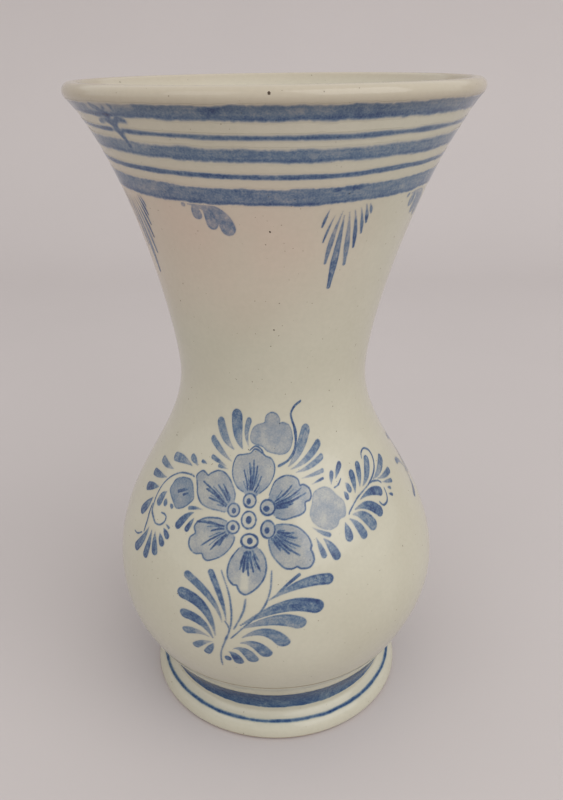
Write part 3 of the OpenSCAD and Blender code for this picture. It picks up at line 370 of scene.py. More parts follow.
LOWER_RIGHT_LEAVES = [
    [1.0, [-1.5, 76], [2, 80.5], [7.5, 84.3]],
    [3.6, [-2, 76], [8, 83.5], [17.5, 80.8]],
    [4.8, [-10, 66], [3, 78.5], [13.3, 71.6]],
    [4.6, [-10, 64.5], [1, 72], [7.8, 66.3]],
    [4.2, [-9.5, 61], [-2, 68], [2.7, 58.4]],
    [3.8, [-10, 58.5], [-5.5, 60.5], [-2.2, 53.3]],
    [3.4, [-12, 55.5], [-8.5, 57], [-6.2, 50]],
    [2.9, [-13.5, 53.5], [-11.5, 53], [-10.5, 48.2]],
    [2.0, [-14.5, 51], [-13.9, 50.4], [-13.8, 49]]]
STEM_LINES = [
    [0.8, [[-16, 45.5], [-16, 52], [-14.5, 58.5], [-13.3, 63.5], [-14.6, 66.6]]],
    [0.7, [[-17, 84], [-14, 77], [-12.8, 70], [-13, 64]]],
    [0.8, [[-12.8, 60], [-9, 65.5], [-4, 72.5], [-1.8, 79], [-1.4, 85.5]]],
    [0.8, [[-12, 64], [-9.5, 71], [-8.9, 75.8]]]]
FEATHER = [
    [1.0, [-5.2, -1.5], [-6.2, -4.5], [-6.7, -7.2]],
    [0.9, [-3.2, -3.5], [-4.6, -7.5], [-5.6, -12.2]],
    [2.0, [-1, -2.5], [-2.8, -10], [-3.5, -19.5]],
    [3.0, [-0.2, -4], [0.2, -15], [-0.3, -28.2]],
    [2.3, [1.3, -3], [3.2, -11], [4.2, -20.7]],
    [1.7, [3, -2.5], [5.2, -8], [6.2, -15]],
    [1.3, [5, -2], [6.8, -6], [7.8, -10.7]],
    [1.4, [6.5, -1], [7.8, -4], [8.5, -7.2]],
    [1.2, [7.8, -0.9], [8.8, -2.6], [9.3, -4.2]]]
SCROLL_LEAF = [
    [1.4, [-6.6, -0.5], [-7.1, -1], [-7, -1.6]],
    [3.2, [-3.2, -0.3], [-3.4, -2.8], [-2.4, -5]],
    [3.8, [-1.1, -0.7], [2, -3.6], [1.4, -8]],
    [4.8, [-5.2, -0.6], [6.2, -0.6], [6.7, -9.7]]]
# Strokes of the front with their tones
LEAF_TONES = ((UPPER_LEAVES, 0.56), (LEFT_LEAVES, 0.74), (RIGHT_LEAVES, 0.72),
              (LOWER_LEFT_LEAVES, 0.60), (LOWER_RIGHT_LEAVES, 0.70))
LINE_TONES = ((UPPER_LINES, 0.85), (LEFT_SCROLL, 0.8), (RIGHT_LINES, 0.85), (STEM_LINES, 0.6))


# ---- Shape ----


def curve(ends, n):
    """n + 1 points on the cubic curve [start, pull, pull, end], and its outward normals."""
    p = np.array(ends, float)
    t = np.linspace(0, 1, n + 1)[:, None]
    s = 1 - t
    places = p[0] * s**3 + 3 * p[1] * t * s**2 + 3 * p[2] * t**2 * s + p[3] * t**3
    slope = (p[1] - p[0]) * s**2 + 2 * (p[2] - p[1]) * t * s + (p[3] - p[2]) * t**2
    out = np.stack([slope[:, 1], -slope[:, 0]], 1)
    return places, out / np.linalg.norm(out, axis=1)[:, None]


def polar(angle):
    return np.array([math.cos(math.radians(angle)), math.sin(math.radians(angle))])


def arc(centre, radius, start, end, n):
    return np.array([centre + radius * polar(a) for a in np.linspace(start, end, n + 1)])


lip_centre = np.array([RIM_R - LIP_ROLL, HEIGHT - LIP_ROLL])
brim = lip_centre + LIP_ROLL * polar(FLARE - 90)
UP = np.array([0, 1])
skirt = np.array([SKIRT_R, SKIRT_Z])
waist = np.array([WAIST_R, WAIST_Z])
belly = np.array([BELLY_R, BELLY_Z])
neck = np.array([NECK_R, NECK_Z])
belly_in = BELLY_R - BELLY_WALL

# The glaze's lower edge, the curves of the wall from there to the lip, and the inside's bottom
EDGE = [(FOOT_R - 0.55, BARE_Z - 0.05), (FOOT_R - 0.2, BARE_Z)]
SKIRT = [(FOOT_R, BARE_Z + 0.3), (FOOT_R, BARE_Z + TOE_PULL), skirt + SKIRT_PULL, skirt]
COVE = [skirt, skirt + COVE_PULL, waist - WAIST_PULL * UP, waist]
BASE = [waist, waist + BASE_PULL * UP, belly - LOW_PULL * UP, belly]
SHOULDER = [belly, belly + HIGH_PULL * UP, neck - NECK_LOW_PULL * UP, neck]
MOUTH = [neck, neck + NECK_HIGH_PULL * UP, brim - MOUTH_PULL * polar(FLARE), brim]
WELL = [(FLOOR_R, FLOOR_Z), (FLOOR_R + FLOOR_PULL, FLOOR_Z), (belly_in, FLOOR_Z + WELL_PULL),
        (belly_in, BELLY_Z)]


def outside():
    """The outer outline of the glaze from the foot's edge to the crest of the lip."""
    walls = [curve(ends, n)[0][:-1] for ends, n in
             ((SKIRT, 8), (COVE, 14), (BASE, 34), (SHOULDER, 40), (MOUTH, 46))]
    return np.concatenate([EDGE, *walls, arc(lip_centre, LIP_ROLL, FLARE - 90, 90, 24)])


def inside():
    """The inner outline of the glaze from the crest of the lip down to the floor's middle."""
    rows = [arc(lip_centre, LIP_ROLL, 90, 90 + FLARE, 8)[1:]]
    for ends, n, low, high in ((MOUTH, 34, NECK_WALL, 2 * LIP_ROLL),
                               (SHOULDER, 26, BELLY_WALL, NECK_WALL)):
        places, out = curve(ends, n)
        depth = np.linspace(low, high, n + 1)[:, None]
        rows.append((places - depth * out)[::-1][1:])
    rows.append(curve(WELL, 22)[0][::-1][1:])
    rows.append(np.stack([np.linspace(FLOOR_R, 0.5, 8)[1:], np.full(7, FLOOR_Z)], 1))
    line = np.concatenate(rows)
    r, z = line.T
    rings = FINGER_DEEP * np.sin(z / FINGER_RISE) * (z < HEIGHT - FINGER_END) * (r > FLOOR_R)
    return np.stack([r + rings, z], 1)


outline = outside()
# The part below the lip's roll, where each height has one radius
wall = outline[: np.argmax(outline[:, 0] > RIM_R - 0.4)]


def wall_r(z):
    return np.interp(z, wall[:, 1], wall[:, 0])


def smooth(low, high, x):
    """0 below low, 1 above high and a soft rise between; the other way where low is above."""
    t = np.clip((x - low) / (high - low), 0, 1)
    return t * t * (3 - 2 * t)


def wander(z):
    """How far to the right the axis lies at height z."""
    return sum(far * (smooth(a, b, z) - smooth(c, d, z)) for far, a, b, c, d in WANDERS)


def shaped(x, y, z):
    """Places in metres, with the oval belly, bent axis and leaning rim of the hand-made pot."""
    turn = np.arctan2(x, -y)
    r = np.hypot(x, y)
    oval = OVAL * smooth(OVAL_FROM, OVAL_FULL, z) * np.cos(2 * turn + OVAL_TURN)
    wave = WAVE * np.sin(3 * turn + z / WAVE_RISE) * smooth(WAVE_FROM, WAVE_FULL, z)
    # Near the axis, inside the floor, the unevenness is held back
    scale = 1 + (oval + wave) / np.maximum(r, 20)
    lift = (RIM_LEAN_RIGHT * x - RIM_LEAN_FRONT * y) * smooth(LEAN_FROM, LEAN_FULL, z)
    return np.stack([x * scale + wander(z), y * scale, z + lift], -1) * MM


def slope_at(z):
    """The wall's slope at a height, and the length that its normal has with it."""
    slope = (wall_r(z + SLOPE_STEP) - wall_r(z - SLOPE_STEP)) / (2 * SLOPE_STEP)
    return slope, np.sqrt(1 + slope * slope)


def on_wall(a, z, off=0.0):
    """Places on the outside, off millimetres above it."""
    slope, length = slope_at(z)
    r = wall_r(z) + off / length
    turn = a / ART_R
    return shaped(r * np.sin(turn), -r * np.cos(turn), z - off * slope / length)


def wall_normals(a, z):
    slope, length = slope_at(z)
    turn = a / ART_R
    return np.stack([np.sin(turn) / length, -np.cos(turn) / length, -slope / length], -1)


# ---- Paint on a grid ----

CELLS, SEED = 64, 7
lattice = np.random.default_rng(SEED).random((CELLS, CELLS))


def cloud(x, y):
    """Smooth noise from 0 to 1, one blob to a unit."""
    xi, yi = np.floor(x).astype(int), np.floor(y).astype(int)
    fx, fy = x - xi, y - yi
    fx, fy = fx * fx * (3 - 2 * fx), fy * fy * (3 - 2 * fy)

    def corner(i, j):
        return lattice[(xi + i) % CELLS, (yi + j) % CELLS]

    low = corner(0, 0) * (1 - fx) + corner(1, 0) * fx
    high = corner(0, 1) * (1 - fx) + corner(1, 1) * fx
    return low * (1 - fy) + high * fy


def smooth_path(points, closed, steps):
    """A smooth line through the points, with so many steps from each to the next."""
    p = np.array(points, float)
    if closed:
        a, b, c, d = np.roll(p, 1, 0), p, np.roll(p, -1, 0), np.roll(p, -2, 0)
    else:
        grown = np.concatenate([p[:1], p, p[-1:]])
        a, b, c, d = grown[:-3], grown[1:-2], grown[2:-1], grown[3:]
    rows = [b + 0.5 * t * ((c - a) + t * ((2 * a - 5 * b + 4 * c - d)
                                          + t * (3 * b - 3 * c + d - a)))
            for t in np.arange(steps) / steps]
    line = np.stack(rows, 1).reshape(-1, 2)
    return line if closed else np.concatenate([line, p[-1:]])


class Sheet:
    """A grid of places that takes paint."""

    def __init__(self, a0, a1, z0, z1, step):
        self.a = np.arange(a0, a1 + step / 2, step)
        self.z = np.arange(z0, z1 + step / 2, step)
        self.paint = np.zeros((len(self.z), len(self.a)))

    def window(self, low, high):
        """Slices and places of the part of the grid from corner low to corner high."""
        i0, i1 = np.searchsorted(self.z, (low[1], high[1]))
        j0, j1 = np.searchsorted(self.a, (low[0], high[0]))
        at = (slice(i0, i1), slice(j0, j1))
        a, z = np.meshgrid(self.a[at[1]], self.z[at[0]])
        return at, a, z

    def around(self, middle, wide, tall):
        """Slices around a round place, and how far out its places lie: 1 is its edge."""
        reach = np.array([wide, tall]) + 1
        at, a, z = self.window(middle - reach, middle + reach)
        return at, np.hypot((a - middle[0]) / wide, (z - middle[1]) / tall)

    def lay(self, at, tone):
        """Paint over paint: the deeper of the two, and a little of the other."""
        old = self.paint[at]
        self.paint[at] = np.maximum(old, tone) + 0.2 * np.minimum(old, tone)

    def brush(self, places, half, tone, edge=0.16, pool=0.0, seed=0.0):
        """A brush mark along places, which reaches half millimetres to each side.

        Streaks run along it, blots and grain lie in it, and paint gathers at its rim.
        """
        reach = half.max() + 1
        at, a, z = self.window(places.min(0) - reach, places.max(0) + reach)
        if not a.size:
            return
        gap = np.hypot(a[..., None] - places[:, 0], z[..., None] - places[:, 1]) - half
        near = gap.argmin(-1)
        inner = -np.take_along_axis(gap, near[..., None], -1)[..., 0]
        along = near / (len(places) - 1)
        streaks = cloud(inner * 2.2 + seed * 7.3, along * 2.5 + seed * 3.1) - 0.5
        blots = cloud(a * 0.7 + seed, z * 0.7 - seed) - 0.5
        grain = cloud(a * 2.3 - seed, z * 2.3 + seed) - 0.5
        rim = np.exp(-((inner - 0.25) / 0.22) ** 2)
        load = 1 + pool * (smooth(0.0, 0.8, along) - 0.72)
        shade = 1 + 0.4 * streaks + 0.75 * blots + 0.5 * grain + 0.22 * rim
        self.lay(at, smooth(-edge, edge, inner) * tone * load * shade)

    def stroke(self, mark, tone, move=(0, 0), index=0, point=0.0):
        """A leaf stroke [width, root, bend, tip] that swells to its tip; point sharpens it."""
        width, root, bend, tip = mark
        root, bend, tip = (np.array(p, float) + move for p in (root, bend, tip))
        t = np.linspace(0, 1, 44)[:, None]
        places = root * (1 - t) ** 2 + 2 * bend * t * (1 - t) + tip * t**2
        # The round end of the mark reaches past its last place, so it stops short of the tip
        left = np.linalg.norm(places - tip, axis=1)
        keep = left >= 0.42 * width * (1 - point)
        keep[:2] = True
        places = places[keep]
        t = np.linspace(0, 1, len(places))
        half = width / 2 * (0.12 + 0.88 * np.sin(np.minimum(t / 0.92, 1) * math.pi / 2) ** 1.15)
        half = half * (1 - 0.9 * point * smooth(0.6, 1.0, t))
        seed = 0.37 * index + width
        dark = 0.72 + 0.5 * (math.sin(seed * 12.9) * 0.5 + 0.5)
        self.brush(places, half, tone * dark, pool=0.65, seed=seed)

    def line(self, mark, tone, move=(0, 0), closed=False, index=0, soft=0.18):
        """A thin line [width, [places]]."""
        width, points = mark
        places = smooth_path(np.array(points, float) + move, closed, 8)
        if closed:
            places = np.concatenate([places, places[:1]])
        fine = smooth_path(places, False, 2)
        # The hand presses unevenly, and less at the ends of an open line
        run = np.linspace(0, 1, len(fine))
        press = 0.75 + 0.5 * cloud(run * 9 + index, run * 0 + index * 1.7)
        if not closed:
            press = press * (0.55 + 0.45 * np.sin(run * math.pi) ** 0.4)
        self.brush(fine, width / 2 * press, tone, edge=soft, seed=index * 0.71)

    def dot(self, middle, wide, tall, tone):
        """A dab of the brush's tip."""
        at, out = self.around(middle, wide, tall)
        self.lay(at, smooth(1.2, 0.85, out) * tone)

    def clear(self, middle, wide, tall):
        """Takes the paint away inside a round place."""
        at, out = self.around(middle, wide, tall)
        self.paint[at] *= smooth(0.9, 1.1, out)

    def fade(self, patch):
        """Thins the paint in a patch (low a, high a, low z, high z, share left)."""
        a0, a1, z0, z1, left = patch
        at, a, z = self.window((a0 - 1, z0 - 1), (a1 + 1, z1 + 1))
        there = (smooth(a0 - 0.8, a0 + 0.4, a) * smooth(a1 + 0.8, a1 - 0.4, a)
                 * smooth(z0 - 1, z0 + 1, z) * smooth(z1 + 1, z1 - 1, z))
        self.paint[at] *= 1 - (1 - left) * there

    def wash(self, points, tone, root=None):
        """A pale wash inside an outline, darker towards root."""
        ring = smooth_path(points, True, 6)
        at, a, z = self.window(ring.min(0) - 1, ring.max(0) + 1)
        within = np.zeros(a.shape, bool)
        for (x0, y0), (x1, y1) in zip(ring, np.roll(ring, -1, 0)):
            crosses = (y0 > z) != (y1 > z)
            within ^= crosses & (a < x0 + (z - y0) * (x1 - x0) / (y1 - y0 or 1e-9))
        gap = np.hypot(a[..., None] - ring[:, 0], z[..., None] - ring[:, 1]).min(-1)
        inner = np.where(within, gap, -gap)
        blots = cloud(a * 0.3 + 3.7, z * 0.3 + 8.1) - 0.5
        grain = cloud(a * 1.7, z * 1.7) - 0.5
        shade = 1 + 0.8 * blots + 0.35 * grain + 0.2 * np.exp(-inner / 0.7)
        if root is not None:
            gap = np.hypot(a - root[0], z - root[1])
            shade = shade + 0.8 * np.exp(-((gap - 6) / 5.0).clip(0) ** 1.2)
        self.lay(at, smooth(-0.25, 0.25, inner) * tone * shade)


# ---- Meshes ----


def add_mesh(name, places, faces, normals=None):
    mesh = bpy.data.meshes.new(name)
    mesh.from_pydata(places.tolist(), [], faces.tolist())
    mesh.polygons.foreach_set("use_smooth", [True] * len(mesh.polygons))
    piece = bpy.data.objects.new(name, mesh)
    bpy.context.collection.objects.link(piece)
    if normals is not None:
        mesh.normals_split_custom_set_from_vertices(normals.tolist())
    return piece


def give_map(piece, u, v):
    """A map named OFBake, from each vertex's u and v, both from 0 to 1."""
    mesh = piece.data
    layer = mesh.uv_layers.new(name="OFBake")
    order = np.zeros(len(mesh.loops), int)
    mesh.loops.foreach_get("vertex_index", order)
    map_places = 0.01 + 0.98 * np.stack([u, v], 1)[order]
    layer.data.foreach_set("uv", map_places.astype("f4").ravel())


def give_pigment(piece, values):
    layer = piece.data.attributes.new("pigment", "FLOAT", "POINT")
    layer.data.foreach_set("value", values.astype("f4"))


def grid_faces(rows, columns, closed=False):
    """The faces of a grid of places; a closed one meets itself sideways."""
    across = columns if closed else columns - 1
    i, j = np.meshgrid(np.arange(rows - 1), np.arange(across), indexing="ij")
    i, j = i.ravel() * columns, j.ravel()
    k = (j + 1) % columns
    return np.stack([i + j, i + k, i + columns + k, i + columns + j], 1)


def surface_normals(places):
    """Normals of a grid that closes on itself sideways."""
    across = np.roll(places[:, :-1], -1, 1) - np.roll(places[:, :-1], 1, 1)
    across = np.concatenate([across, across[:, :1]], 1)
    up = np.gradient(places, axis=0)
    out = np.cross(across, up)
    return (out / np.maximum(np.linalg.norm(out, axis=2), 1e-12)[..., None]).reshape(-1, 3)


def turned(name, line):
    """A smooth surface turned from an outline of (r, z) places."""
    columns = TURNS + 1
    turn = np.linspace(-math.pi, math.pi, columns)
    r, z = line[:, 0][:, None], line[:, 1][:, None]
    places = shaped(r * np.sin(turn), -r * np.cos(turn), z + 0 * turn)
    places[:, -1] = places[:, 0]
    piece = add_mesh(name, places.reshape(-1, 3), grid_faces(len(line), columns),
                     surface_normals(places))
    run = np.concatenate([[0], np.cumsum(np.linalg.norm(np.diff(line, axis=0), axis=1))])
    u, v = np.meshgrid(np.linspace(0, 1, columns), run / run[-1])
    give_map(piece, u.ravel(), v.ravel())
    return piece


def painted(name, sheet, material, off=SKIN_OFF, moved=None):
    """The places of a sheet that hold paint, as a skin just above the glaze.

    moved gives where each place goes, such as where a band leans.
    """
    a, z = np.meshgrid(sheet.a, sheet.z)
    if moved is not None:
        a, z = moved(a, z)
    wet = sheet.paint > DRY
    cells = wet[:-1, :-1] | wet[1:, :-1] | wet[:-1, 1:] | wet[1:, 1:]
    faces = grid_faces(*sheet.paint.shape)[cells.ravel()]
    used, faces = np.unique(faces, return_inverse=True)
    a, z = a.ravel()[used], z.ravel()[used]
    piece = add_mesh(name, on_wall(a, z, off), faces.reshape(-1, 4), wall_normals(a, z))
    give_pigment(piece, sheet.paint.ravel()[used])
    span = max(np.ptp(a), np.ptp(z))
    give_map(piece, (a - a.min()) / span, (z - z.min()) / span)
    piece.data.materials.append(material)
    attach(piece, "root")
    return piece


# ---- Materials ----


def linked(value):
    return hasattr(value, "is_output")


class Shader:
    """A short way to write node trees."""

    def __init__(self, name):
        self.material = bpy.data.materials.new(name)
        self.material.use_nodes = True
        self.nodes = self.material.node_tree.nodes
        self.links = self.material.node_tree.links
        self.skin = self.nodes["Principled BSDF"]
        self.place = self.nodes.new("ShaderNodeNewGeometry").outputs["Position"]

    def put(self, node, inputs):
        """Sets or links a node's inputs, which are named or counted."""
        for name, value in inputs.items():
            if linked(value):
                self.links.new(value, node.inputs[name])
            else:
                node.inputs[name].default_value = value

    def add(self, kind, inputs):
        """A new node with its inputs."""
        node = self.nodes.new("ShaderNode" + kind)
        self.put(node, inputs)
        return node

    def noise(self, size, detail=2.0, shift=(0, 0, 0), rough=0.5):
        """Noise from 0 to 1, size millimetres to a blob."""
        grown = self.add("Mapping", {"Vector": self.place, "Location": shift,
                                     "Scale": [1 / (size * MM)] * 3})
        return self.add("TexNoise", {"Vector": grown.outputs[0], "Scale": 1.0, "Detail": detail,
                                     "Roughness": rough}).outputs[0]

    def span(self, value, low, high, new_low=0.0, new_high=1.0):
        """The value, with low to high laid onto new_low to new_high and held there."""
        node = self.add("MapRange", {"Value": value, "From Min": low, "From Max": high,
                                     "To Min": new_low, "To Max": new_high})
        node.clamp = True
        return node.outputs[0]

    def clouds(self, size, detail=2, low=0.0, high=1.0, rough=0.5):
        """Noise with its middle part spread from low to high."""
        return self.span(self.noise(size, detail, rough=rough), 0.3, 0.7, low, high)

    def math(self, kind, first, second):
        node = self.add("Math", {0: first, 1: second})
        node.operation = kind
        return node.outputs[0]

    def times(self, first, second):
        return self.math("MULTIPLY", first, second)

    def mix(self, share, first, second, kind="MIX"):
        node = self.nodes.new("ShaderNodeMix")
        node.data_type = "RGBA"
        node.blend_type = kind
        first, second = (c if linked(c) else (*c, 1) for c in (first, second))
        self.put(node, {"Factor": share, 6: first, 7: second})
        return node.outputs[2]

    def axis(self, name):
        return self.add("SeparateXYZ", {0: self.place}).outputs[name]

    def join(self, channels):
        return self.add("CombineColor", dict(enumerate(channels))).outputs[0]

    def power(self, base, power):
        """Each channel of the colour base raised to power."""
        return self.join([self.math("POWER", value, power) for value in base])

    def bump(self, height, depth, strength):
        """A surface that rises by depth millimetres where height is 1."""
        inputs = {"Height": height, "Strength": strength, "Distance": depth * MM}
        self.put(self.skin, {"Normal": self.add("Bump", inputs).outputs[0]})


def glaze_colour(s):
    """Cream tin glaze: clouds, a pinkish flush on the upper left and a few dark specks."""
    colour = s.mix(s.clouds(34, 3), GLAZE_DEEP, GLAZE_PALE)
    flush = s.times(s.span(s.axis("Z"), *FLUSH_RISE), s.span(s.axis("X"), *FLUSH_SIDE))
    flush = s.times(flush, s.span(s.axis("Z"), *FLUSH_FADE, 0.25, 1.0))
    flush = s.times(flush, s.clouds(28, 2, 0.5))
    colour = s.mix(flush, colour, GLAZE_PINK)
    # Painted shade: the top of the lip is darkened
    colour = s.mix(s.times(s.span(s.axis("Z"), *LIP_SHADE_RISE), 0.75), colour, LIP_SHADE_COLOUR)
    fine = s.span(s.noise(1.6, 2), 0.25, 0.75, 0.975, 1.02)
    colour = s.mix(1.0, colour, s.join([fine] * 3), "MULTIPLY")
    specks = s.span(s.noise(0.75, 0, shift=(9, 3, 5)), 0.845, 0.87)
    return s.mix(s.times(specks, 0.75), colour, SPECK)


def gloss(s, shine=GLOSS):
    """The shine and the faint waves of the glaze."""
    waves = s.times(s.noise(7, 2), 0.8)
    peel = s.times(s.noise(1.1, 1), 0.12)
    s.bump(s.math("ADD", waves, peel), 0.14, 0.6)
    s.put(s.skin, {"Roughness": s.clouds(18, 2, 0.10, 0.17)})
    s.skin.inputs["IOR"].default_value = 1.5
    s.skin.inputs["Specular IOR Level"].default_value = shine


def glaze_material(name, dim=1.0):
    s = Shader(name)
    colour = glaze_colour(s)
    if dim < 1:
        colour = s.mix(1.0, colour, (dim, dim, dim), "MULTIPLY")
    s.put(s.skin, {"Base Color": colour})
    gloss(s)
    return s.material


def paint_material(name, through, thin=None, shine=GLOSS):
    """Pigment in the glaze: the deeper it is, the more of each colour it takes out.

    through is what a layer of tone 1 lets through, and thin the same where it is a wash.
    """
    s = Shader(name)
    layer = s.nodes.new("ShaderNodeAttribute")
    layer.attribute_name = "pigment"
    texture = s.times(s.clouds(0.55, 2, 0.72, 1.28, rough=0.6), s.clouds(2.6, 2, 0.88, 1.12))
    depth = s.times(layer.outputs["Fac"], texture)
    left = s.power(through, depth)
    if thin is not None:
        left = s.mix(s.span(depth, *WASH_DEPTHS), s.power(thin, depth), left)
    s.put(s.skin, {"Base Color": s.mix(1.0, glaze_colour(s), left, "MULTIPLY")})
    gloss(s, shine)
    return s.material


def clay_material(name, colour):
    s = Shader(name)
    grit = s.clouds(0.6)
    base = s.mix(s.clouds(9, 4), colour, [c * 0.82 for c in colour])
    s.put(s.skin, {"Base Color": s.mix(s.times(grit, 0.3), base, [c * 0.6 for c in colour]),
                   "Roughness": s.span(grit, 0, 1, 0.75, 0.9)})
    s.bump(grit, 0.15, 0.5)
    return s.material


def floor_material():
    s = Shader("paper_floor")
    fibre = s.span(s.noise(1.4, 3), 0.25, 0.75)
    base = s.mix(s.clouds(120), FLOOR, [c * 0.985 for c in FLOOR])
    s.put(s.skin, {"Base Color": s.mix(s.times(fibre, 0.025), base, [c * 0.7 for c in FLOOR]),
                   "Roughness": 0.85})
    s.skin.inputs["Specular IOR Level"].default_value = 0.15
    return s.material


blue = paint_material("cobalt_paint", COBALT, COBALT_WASH)
brown = paint_material("brown_hairline", BROWN_LINE)
foot_blue = paint_material("cobalt_at_foot", COBALT, shine=FOOT_GLOSS)


# ---- Pieces ----


def take(piece, nodes):
    """Hides the nodes that the piece stands for."""
    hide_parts(*nodes)


def glaze_coat():
    """The glaze over the whole pot, outside and inside, in one smooth surface."""
    piece = turned("glaze_coat", np.concatenate([outline, inside()]))
    piece.data.materials.append(glaze_material("cream_glaze"))
    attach(piece, "root")
    take(piece, ["outer_glaze", "inner_glaze", "belly", "neck", "neck_seam_slip",
                 "rolled_lip", "lip_seam_slip"])
    return piece


def lay_marks(sheet, marks, tone, move=(0, 0), point=0.0):
    for index, mark in enumerate(marks):
        sheet.stroke(mark, tone, move, index, point)


def lay_lines(sheet, lines, tone, move=(0, 0)):
    for index, line in enumerate(lines):
        sheet.line(line, tone, move, index=index)


def ring_of(petal):
    """The middle of the ring nearest to a petal."""
    middle = np.mean(petal, axis=0)
    return min((np.array(ring[3]) for ring in CENTRE_RINGS[1:]),
               key=lambda c: np.hypot(*(c - middle)))


def fan(sheet, ring, tips, seed):
    """Fine veins that spread from a ring to the tips, with finer ones between."""
    ahead = np.mean(tips, axis=0) - ring
    u, v = ahead / np.linalg.norm(ahead)
    sideways = np.array([[u, -v], [v, u]])
    tips = sorted((np.array(tip, float) - ring for tip in tips),
                  key=lambda reach: math.atan2(*(reach @ sideways)[::-1]))
    # Finer veins lie between neighbours and beside the outer two
    veins = [(tip, MAIN_VEIN) for tip in tips]
    veins += [((tip + other) / 2 * 0.88, FINE_VEIN) for tip, other in zip(tips, tips[1:])]
    veins += [(tip * 0.7 + (tip - other) * 0.35, FINE_VEIN)
              for tip, other in (tips[:2], tips[:-3:-1])]
    for index, (reach, (width, begin, tone)) in enumerate(veins):
        start = ring + reach * min(0.8, begin / np.linalg.norm(reach))
        bend = ring + reach * 0.7 + 0.03 * np.array([reach[1], -reach[0]])
        sheet.line([width, [start, bend, ring + reach * 1.12]], tone, index=seed + index)


def rosette(sheet, rings, dots, washes=(0.2,)):
    """The ringed dots of a flower's middle."""
    for (_, wide, tall, middle), tone in zip(rings, washes):
        sheet.clear(middle, wide, tall)
        sheet.dot(middle, wide, tall, tone)
    for index, (width, wide, tall, middle) in enumerate(rings):
        ring = [(middle[0] + wide * math.cos(t), middle[1] + tall * math.sin(t))
                for t in np.linspace(0, 2 * math.pi, 13)[:-1]]
        sheet.line([0.3 + 0.3 * width, ring], 1.0, closed=True, index=index + 30)
    for wide, tall, middle in dots:
        sheet.dot(middle, 0.9 * wide, 1.05 * tall, 1.3)


def front_paint():
    """The painted flowers of the front, in the order that the strokes were laid."""
    sheet = Sheet(*FRONT_SHEET)
    for petal in PETALS:
        sheet.wash(petal + [list(ring_of(petal))], WASH, root=FLOWER_MIDDLE)
    # Painted highlight: the lowest petal's paint is thinned in a patch
    sheet.fade(PETAL_HIGHLIGHT_PATCH)
    for bud, tone in zip(BUDS, BUD_WASHES):
        sheet.wash(bud, tone)
    for index, petal in enumerate(PETALS):
        sheet.line([PETAL_LINE, petal], PETAL_EDGE, index=index)
    for index, (bud, tone) in enumerate(zip(BUDS, BUD_EDGES)):
        sheet.line([BUD_LINE, bud], tone, closed=True, index=index + 9)
    for index, (petal, tips) in enumerate(zip(PETALS, VEIN_TIPS)):
        fan(sheet, ring_of(petal), tips, 11 * index)
    lay_marks(sheet, BUD_STROKES, 1.1)
    for marks, tone in LEAF_TONES:
        lay_marks(sheet, marks, tone)
    for lines, tone in LINE_TONES:
        lay_lines(sheet, [[LINE_SHARE * width, places] for width, places in lines], tone)
    rosette(sheet, CENTRE_RINGS, CENTRE_DOTS, RING_WASHES)
    return sheet


def branch_at(side, i):
    return np.array([BACK_A + side * (16 + 9.5 * i),
                     BACK_Z + 14 * math.sin(math.radians(25 * i)) - 4])


def branch(sheet, side, pairs):
    """A leafy branch of the back's bouquet."""
    for i in range(pairs):
        for up in (-1, 1):
            root = branch_at(side, i)
            mark = [3.1 - 0.15 * i, root + (0, up * 0.8), root + (side * 2, up * 7),
                    root + (side * 8.2, up * (12 - 0.7 * i))]
            sheet.stroke(mark, BACK_LEAF_TONE, index=i + 0.4 * up)
    sheet.line([0.8, [branch_at(side, i) for i in np.arange(-0.4, pairs - 0.5, 0.5)]], 0.75)


def back_petal(k):
    """The outline of a petal of the back's flower."""
    turn = math.radians(360 / BACK_PETALS * k + 18)
    middle = np.array([BACK_A + BACK_PETAL_AWAY * math.cos(turn),
                       BACK_Z + BACK_PETAL_AWAY * math.sin(turn)])
    around = np.radians(30 * np.arange(12))
    reach = BACK_PETAL_R + 0.4 * np.cos(3 * (around - turn))
    return middle + reach[:, None] * np.stack([np.cos(around), np.sin(around)], 1)


def back_paint():
    """The back's smaller bouquet, which the photograph doesn't show."""
    sheet = Sheet(*BACK_SHEET)
    for index in range(BACK_PETALS):
        sheet.wash(back_petal(index), WASH, root=(BACK_A, BACK_Z))
        sheet.line([PETAL_LINE, back_petal(index)], BACK_PETAL_EDGE, closed=True, index=index)
    rosette(sheet, [[0.8, 2.7, 2.6, (BACK_A, BACK_Z)]], [[1.2, 1.1, (BACK_A, BACK_Z)]])
    branch(sheet, -1, LEFT_PAIRS)
    branch(sheet, 1, RIGHT_PAIRS)
    for marks in (LOWER_LEFT_LEAVES, LOWER_RIGHT_LEAVES):
        lay_marks(sheet, marks, BACK_SPRAY_TONE, BACK_SPRAY_MOVE)
    lay_lines(sheet, STEM_LINES, BACK_STEM_TONE, BACK_SPRAY_MOVE)
    return sheet


def neck_paint(marks, places, tone, point=0.0):
    """The motifs that hang under the neck's band."""
    sheet = Sheet(*NECK_SHEET)
    for place in places:
        lay_marks(sheet, marks, tone, (place, HANG_Z), point)
    return sheet


def drift_at(a):
    """How far the brush had moved up at a place around the vase."""
    return np.interp(a, *zip(*DRIFT))


def drifted(share):
    """Moves the places of a ring up by a share of the hand's drift."""
    return lambda a, z: (a, z + share * drift_at(a))


def settled(a, z):
    """Moves the places of the bouquet from where they were read onto the bent pot."""
    z = z + RISE - FLATTEN * (z - READ_Z)
    return a - wander(z) * ART_R / wall_r(z) * np.cos(a / ART_R), z


def ring_cloud(turn, rise, across, up, shift):
    """Noise around the vase that meets itself: across and up are blobs to a millimetre."""
    reach = ART_R * across + rise * up
    return cloud(reach * np.cos(turn) + shift, reach * np.sin(turn) + shift) - 0.5


